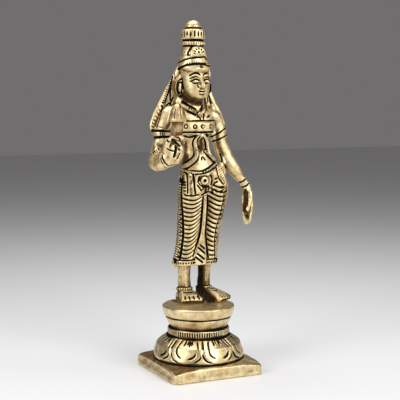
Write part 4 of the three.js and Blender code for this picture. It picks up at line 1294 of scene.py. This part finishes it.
strapHatches = (  # route, reach, pitch, depth, darkness, slant, share, brown
    ([(2.5, 14.7), (4.7, 15.7), (6.6, 17.2), (8.1, 18.7)], 0.85, 1, 0.25, 0.9, 0, 0.6, 0.6),
    ([(-4.1, 12.1), (-3.9, 7.9), (-3.6, 3.7)], 1, 0.8, 0.15, 0.5, 0, 0.6, 0.5),
    ([(10.5, 17.4), (11.8, 13.7), (13.2, 9.5)], 0.95, 1.15, 0.2, 0.6, -0.4, 0.5, 0.4),
)
strapLines = (
    ([(-6.6, 15), (-5.6, 12.4), (-5.5, 7.9), (-5.5, 3.7)], 0.85),  # right strap
    ([(-2.7, 13.5), (-2.2, 10.5), (-1.9, 6.6), (-1.4, 3.4)], 0.95),
    ([(-7.7, 3.7), (-5.9, 2.9), (-3.3, 2.7), (-1.4, 3), (0.4, 3.4)], 0.8),
    ([(-7.5, 14.8), (-6.2, 14.7)], 0.7),
    ([(8.7, 18), (9.5, 15), (10.3, 12.1), (11.5, 10.1), (12.9, 8.5)], 0.9),  # left strap
    ([(12.4, 19.8), (13.7, 17.5), (15, 15.3)], 0.7),
    ([(5.7, 13.7), (6.8, 12.1), (6.8, 9.8), (6.2, 7.9)], 0.95),  # round the clasp
    ([(0.8, 12.4), (0.2, 10.8), (-0.4, 9.5)], 0.9),
    ([(1, 8.1), (2.5, 7.4), (4.1, 7.2), (5.7, 7.9)], 0.8),
    ([(-0.8, 8.5), (0.5, 6.9), (1.8, 5)], 0.8),
    ([(2.5, 7.2), (2.3, 5.3)], 0.75),
    ([(5.4, 7.4), (5.2, 5.3)], 0.75),
    ([(-0.1, 9.5), (1.2, 7.9)], 0.7),
    ([(1.5, 2.7), (2.8, 3.9), (5, 4.7), (7, 4.4), (7.8, 3.5)], 0.9),  # hip and the top of the folds
    ([(7, 7.7), (8.4, 9.2), (9.9, 10.1)], 0.9),
    ([(8.1, 11.2), (9.7, 11.8)], 0.8),
    ([(9.1, 7.3), (11.1, 7.2), (13.4, 7.5)], 0.8),
    ([(13.1, 6), (10.5, 4.8), (8.3, 5)], 0.7),
)
# brown and partly black patches along and beside the straps
strapDarkening = (
    ([(-4, 11.8), (-3.8, 7.9), (-3.6, 4)], 1.6, 0.42),
    ([(-7.7, 12.1), (-7.5, 9.2)], 1.4, 1),
    ([(3.9, 7.4), (3.8, 5)], 1.3, 1),
    ([(6.5, 6.9), (7.1, 5)], 1.1, 1),
)


def carveStraps(carving):
    carving.hatch(strapHatches)
    carving.strokes(carving.onView, strapLines, 0.5, taper=0.6)
    for y in hipBars:
        carving.groove(carving.onView([(-7.9, y), (-6.2, y - 0.1)]), 0.75, 0.45, taper=0.3)
    carving.stains(carving.onView, strapDarkening)
    clasp = carving.onView([(3.5, 10.5)])[0]
    carving.dot(clasp, 2.5, ring=0.45, dark=0.7)
    carving.dot(clasp, 0.1, ring=1.35)


def carveFolds(carving, free):
    x, y, z = carving.points.T
    for fold in folds:
        rows = np.array(fold["leg"])
        middleX, middleY, halfWidth, halfDepth = [np.interp(z, rows[:, 0], rows[:, k]) for k in (1, 2, 3, 4)]
        across, deep = (x - middleX) / halfWidth, (y - middleY) / halfDepth
        reach, turn = np.hypot(across, deep), np.arctan2(across, -deep)
        onLeg = np.clip((reach - 0.86) / 0.06, 0, 1) * np.clip((1.16 - reach) / 0.06, 0, 1)
        onLeg *= np.clip((z - figure["hem"] - 2.4) / 0.4, 0, 1) * free
        # the folds hang lowest at one side of the leg, and flatten towards the hem
        sag = np.interp(z, [figure["hem"], figure["hem"] + 9, figure["waist"]], fold["sag"])
        bearing = turn - math.radians(fold["lowest"])
        lift = sag * (1 - np.cos(2 * bearing))
        # less on the side away from the middle of the skirt
        away = bearing < 0 if fold["leg"] is rightLegRows else bearing > 0
        lift *= np.where(away, fold["outer"], 1)
        phase = (fold["top"] - z + lift) / fold["pitch"]
        onLeg *= np.clip((phase + 0.5) / 0.1, 0, 1)
        off = np.abs((phase + 0.5) % 1 - 0.5) * fold["pitch"]
        half = fold["half"] - 0.09 * np.sin(turn + 0.3)
        valley = np.clip(1 - (off / (half * 1.5)) ** 2, 0, 1) * onLeg
        dark = np.clip(1.5 - off / half, 0, 1) * onLeg
        carving.deepen(carving.everywhere, cut=figure["foldDepth"] * valley, patina=dark)


borderHatches = (  # route, reach, pitch, depth, darkness, slant, share, brown
    ([(-9.5, 9.8), (-9.9, 6.6), (-10.2, 1.8), (-10.4, -3.1), (-10.4, -7.9), (-10.4, -12.7), (-10.6, -16.9),
      (-11.1, -20.8), (-11.5, -24.3), (-12, -28.8)], 2.7, 1.29, 0.45, 1, 0.3, 0.62, 0.8),
    ([(14.7, 6.9), (14.2, 4), (13.7, 0.2), (13.1, -3.1), (12.4, -6.3), (11.8, -9.5), (11.3, -12.7),
      (10.7, -15.9), (10.2, -19.1), (9.6, -23.7), (9.3, -28.8)], 2.5, 1.06, 0.45, 1, -0.5, 0.62, 0.8),
)
besideFolds = (
    ([(-8.2, 11.8), (-8.6, 6.6), (-8.6, 1.5), (-8.4, -3.1), (-8, -7.9), (-7.8, -12.7), (-7.8, -17.5),
      (-8.3, -21.7), (-8.8, -25.6), (-9.6, -29.4)], 1.3),
    ([(13.2, 5.3), (12.9, 2.1), (12.1, -2.1), (11, -6.3), (10.1, -9.8), (9.3, -12.7), (8.7, -15.9),
      (8.3, -19.1), (8.3, -23.7), (8.3, -28.8)], 0.65),
    ([(2.6, 2.9), (2.1, -0.8), (1.8, -5), (1.5, -9.5), (1.3, -12.7), (0.7, -16.9), (-0.6, -20.4),
      (-1.7, -24.3), (-2.7, -28.2)], 1),
    ([(4.5, 3.4), (4.5, -0.8), (4.2, -5), (3.9, -9.5), (3.5, -12.7), (3.5, -16.9), (3.9, -20.8),
      (4.4, -24.6), (5, -28.8)], 0.9),
)
centreCord = [(3.5, 2.7), (3.3, -0.8), (2.9, -5), (2.6, -9.5), (2.4, -12.7), (2.1, -15.9)]
fanStripes = (
    ([(0.9, 30.4), (2.6, 29), (4.2, 27.8)], 0.95),
    ([(0, 29), (2.2, 27.2), (4.4, 25.4)], 0.95),
    ([(-0.6, 26), (1.8, 24.2), (4.2, 22.4)], 0.95),
    ([(-1.4, 24.2), (1, 22.4), (3.2, 20.8)], 0.95),
)


def carveSkirt(carving):
    free = np.ones(len(carving.points))  # where the folds may run
    carving.hatch(borderHatches)
    for border in (rightBorder, leftBorder):
        free *= carving.mask(carving.asGiven([place[:3] for place in border]), 1.9)
    for route, width in besideFolds:
        line = carving.onView(route)
        carving.groove(line, width, 0.7, taper=0.5)
        free *= carving.mask(line, width / 2)
    line = carving.onView(centreCord)
    carving.ribs(line, 0.65, 1.1, 0.15, dark=0.6, share=0.5, brown=0.6)
    free *= carving.mask(line, 1.2)
    for strap in (rightStrap, leftStrap):
        free *= carving.mask(carving.onFront(strap), 1.9)
    free *= carving.mask(np.array([frontOf(3, z, 0.5) for z in (63, 62.9, 58)]), 3.4)
    # the fan between the legs
    carving.strokes(carving.onFront, fanStripes, 0.45, taper=0.6)
    free *= carving.mask(np.array([(2.8, -6.6, 37), (2.4, -6.4, 30)]), 1.8)
    free *= carving.mask(np.array([(2.4, -6.4, 30), (1.6, -6.2, 20)]), 3.2)
    carveFolds(carving, free)
    for rows in (rightLegRows, leftLegRows):
        z, x, y, wide, deep = rows[0]

        def onHem(turn, rise):
            return x + wide * math.sin(turn), y - deep * math.cos(turn), z + rise

        turns = np.linspace(0, 2 * math.pi, 25)
        carving.groove(carving.onSurface([onHem(t, 2.9) for t in turns]), 0.7, 0.35, taper=0)
        for t in turns[:-1]:
            carving.groove(carving.onSurface([onHem(t, 0.7), onHem(t, 2)]), 0.7, 0.3, taper=0.3)


armletTicks = (
    ([(-19.1, 35), (-19.1, 33.3)], 0.7),
    ([(-18.1, 35), (-18.1, 33.3)], 0.7),
    ([(-17.2, 35), (-17.2, 33.3)], 0.7),
)
# brown and partly black patches on the right arm and near its hand
rightArmDarkening = (
    ([(-14.4, 40.4), (-15.1, 38.7), (-15.8, 37.3)], 1.4, 0.8),
    ([(-22.8, 26.7), (-22.9, 25)], 1.2, 0.7),
    ([(-20.5, 28.7), (-18.8, 28)], 1.6, 0.7),
    ([(-21.4, 20), (-20, 22.2)], 2.4, 0.45),
)
leftArmRings = (  # x, y, z, radius and slope
    (15.6, 0.8, 88.2, 4, 0.6),
    (16.4, 0.8, 84.9, 4, 0.45),
    (27.3, -3.1, 62.5, 2.5, 0.68),
    (28.9, -3.8, 60.1, 2.5, 0.55),
)
wristLines = (
    ([(-18.4, 23.8), (-18.1, 21.7), (-17.1, 19.8), (-15.8, 18.4), (-14.6, 18)], 0.75),
    ([(-19.1, 22.5), (-18.8, 20.3), (-17.7, 18.3)], 0.6),
    ([(-14.9, 18), (-13.5, 18.2), (-12.3, 18.7)], 0.6),
)


def carveArms(carving):
    for z in (88.7, 85.6):
        spot = (-17.2 - (88.9 - z) * 0.32, -1.1)
        carving.groove(carving.onSurface(ringAt(z, 4.7, spot)), 1.15, 0.5, taper=0)
    carving.strokes(carving.onView, armletTicks, 0.35)
    bangle = carving.onView([(-24.3, 23.2), (-22.8, 24.5), (-21.4, 25.6), (-20.2, 26.3)])
    carving.ribs(bangle, 0.9, 1.2, 0.3, dark=0.8)
    carving.stains(carving.onView, rightArmDarkening)
    turns = np.linspace(0, 2 * math.pi, 30)
    for x, y, z, radius, slope in leftArmRings:
        spots = [(radius * math.cos(t), radius * math.sin(t)) for t in turns]
        ring = [(x + across, y - deep, z + slope * across) for across, deep in spots]
        carving.groove(carving.onSurface(ring), 0.8, 0.35, taper=0)
    # painted shade on the inner side of the left upper arm, against the body
    carving.darken(carving.asGiven([(13.2, -1.6, 88), (13.8, -1.6, 83), (15.6, -2, 76.6)]), 2, 0.55)
    carving.groove(carving.onView([(10.5, 24.6), (11.3, 22.9), (11.8, 21.1), (11.7, 19.6)]), 0.9, 0.45)
    carving.strokes(carving.onView, wristLines, 0.35)


palmLines = (
    ([(-13.5, 31.6), (-13.1, 30.3), (-14, 28.7), (-14.5, 27)], 0.85),
    ([(-11.4, 32.6), (-9.8, 32), (-9.3, 30.8), (-10.4, 30.3)], 0.7),
    ([(-13, 32), (-12, 30.3), (-10.4, 28.9), (-8.9, 27.4)], 0.75),
    ([(-11.7, 28.2), (-11.4, 26.4), (-11.7, 24.5), (-12.4, 21.9)], 1.15),
    ([(-16.2, 26.7), (-14.6, 25.9), (-12, 25.2)], 0.7),
    ([(-9, 24.6), (-9.8, 23.1), (-10.8, 21.1)], 0.7),
    ([(-16.2, 31), (-14.5, 29.8)], 0.8),
    ([(-10.2, 26.7), (-9, 25.6)], 0.7),
)
leftHandLines = (
    ([(29, 57), (28.8, 53), (28, 49), (26.6, 46.6)], 0.7),
    ([(31.8, 54.6), (31, 50), (29.4, 45.6), (28, 43.6)], 0.7),
    ([(29.4, 43.6), (29.2, 41)], 0.6),
)


def carveHands(carving):
    carving.strokes(carving.onView, palmLines, 0.5, taper=0.6)
    carving.darken(carving.onView([(-13.8, 30.3), (-11.3, 28.9), (-10.2, 26.4)]), 1.5, 0.8)
    carving.strokes(carving.onFront, leftHandLines, 0.4, dark=0.5)
    # painted shade down the left hand's left edge
    carving.darken(carving.onFront([(27.6, 57), (27.6, 52), (27, 47), (28.8, 43.4)]), 1.7, 1)
    for i in range(3):
        x = 27.75 + i * 1.5
        back = [(x, 51.4), (x, 47), (29 + (x - 29) * 0.5, 42.4)]
        carving.groove(carving.onFront(back, fromY=60), 0.7, 0.4)
    # the lotus bud
    carving.darken(carving.asGiven([(*budAxis, 90), (*budAxis, 102)]), 9, 0.4)
    carving.groove(carving.onSurface(ringAt(93, 3.5, budAxis)), 0.5, 0.25, 0.7, taper=0)
    for t in around(8):
        line = [beside(budAxis, radius, t, z) for z, radius in ((94.6, 4.5), (97.4, 3.8), (100.2, 2.6))]
        carving.groove(carving.onSurface(line), 0.5, 0.22, 0.5)


ankleBands = (
    ([(4.8, -43.1), (6.6, -43.8), (8.4, -43.6)], 0.7),
    ([(-7.9, -45.8), (-5.3, -46), (-2.7, -45.7)], 0.85),
    ([(-2.1, -45.6), (-0.8, -46.5), (0.2, -47.9)], 0.6),
    ([(5.8, -41.8), (7.1, -41.5), (8.3, -42)], 0.85),
    ([(6.7, -44.9), (8.6, -44.9), (10.6, -44.3)], 0.75),
)
# painted shade on the right foot's left side and on the shaded sides of the shins
shinShade = (
    ([(-10.2, -44.7), (-9.9, -47.4), (-9, -51.4)], 1.4, 0.8),
    ([(-9.7, -33.5), (-9.1, -38), (-9.4, -43.2)], 2.4, 0.25),
    ([(-4.6, -33.5), (-4.9, -38), (-3.9, -42.6)], 2.4, 0.4),
    ([(4.7, -33.5), (5.4, -38), (5.1, -41.9)], 2.4, 0.35),
)
# painted shade on the web between the legs and behind the right heel
webShade = (  # x, y, z on the web between the legs and behind the heel
    ([(4.8, 1.4, 24), (5, 1.8, 12), (5.4, 1.4, 6), (6.6, -2.4, 2.6), (7.6, -6.6, 0.8)], 4, 1.1),
    ([(4.4, -1, 1), (4.6, -6, 0.4)], 2.4, 1),
    ([(-5, 8, 1), (-6.6, 5, 1)], 2, 0.8),
)


def carveFeet(carving):
    for foot in feet.values():
        x, y = foot["ankle"]
        ankle = (x, y - 0.2)
        carving.groove(carving.onSurface(ringAt(7.9, 4.2, ankle, lift=0.4)), 0.8, 0.45, taper=0)
        for t in around(20):
            carving.groove(carving.onSurface([beside(ankle, 4.6, t, z) for z in (7.3, 5.9)]), 0.7, 0.35, 0.9)
        for toe in (0.14, 0.4, 0.65, 0.88):
            gap = [(*onFoot(foot, toe, share)[:2], z) for share, z in ((0.98, 4), (1.2, 2))]
            carving.groove(carving.onSurface(gap), 0.75, 0.45, taper=0.5)
        sole = [(*onFoot(foot, toe, 1.16)[:2], 0.6) for toe in (-0.1, 0.25, 0.5, 0.75, 1.1)]
        carving.groove(carving.onSurface(sole), 0.9, 0.4)
    carving.strokes(carving.onView, ankleBands, 0.45, taper=0.6)
    # painted shade on the shins, the feet's sides, between the legs and behind the right heel
    carving.stains(carving.onView, shinShade)
    carving.stains(carving.asGiven, webShade)


def carveFigure(piece):
    carving = Carving(piece, unit, figurePlace)
    carveCrown(carving)
    carveFace(carving)
    carveHair(carving)
    carveChest(carving)
    carveWaist(carving)
    carveStraps(carving)
    carveSkirt(carving)
    carveArms(carving)
    carveHands(carving)
    carveFeet(carving)
    print("figure carved")
    carving.finish(figure["faces"])


def makeFigure():
    piece = figureForms()
    carveFigure(piece)
    piece.data.materials.clear()
    piece.data.materials.append(makeBrass("figure brass", figure["roughness"], figure["worn"]))
    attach(piece, "root")
    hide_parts("figure")
    print("figure done")


# Floor and light

def addFloor():
    bpy.ops.object.select_all(action="DESELECT")
    bpy.ops.mesh.primitive_plane_add(size=view["floor"] * mm)
    floor = bpy.context.object
    floor.name = "floor"
    finish = Finish("floor")
    finish.feed(finish.shader.inputs["Base Color"], (0.78, 0.78, 0.79, 1))
    finish.feed(finish.shader.inputs["Roughness"], 0.55)
    floor.data.materials.append(finish.material)


lights = {
    "front": {"place": (150, -540, 320), "size": 340, "power": 2.4},
    "right": {"place": (480, -230, 200), "size": 160, "power": 0.35},
    "left": {"place": (-520, -160, 300), "size": 260, "power": 1.8},
    "top": {"place": (0, 60, 560), "size": 420, "power": 2.2},
}


def addLights():
    for name, light in lights.items():
        place = Vector(light["place"]) * mm
        bpy.ops.object.light_add(type="AREA", location=place)
        lamp = bpy.context.object
        lamp.name = name
        lamp.rotation_euler = (Vector((0, 0, 0.09)) - place).to_track_quat("-Z", "Y").to_euler()
        lamp.data.size = light["size"] * mm
        lamp.data.energy = light["power"]
    world = bpy.data.worlds.new("studio")
    bpy.context.scene.world = world
    world.use_nodes = True
    world.node_tree.nodes["Background"].inputs["Color"].default_value = (0.27, 0.26, 0.26, 1)
    world.node_tree.nodes["Background"].inputs["Strength"].default_value = 0.6
    bpy.context.scene.view_settings.view_transform = "Standard"


addCamera()
addFloor()
addLights()
makePlinth()
makeFigure()
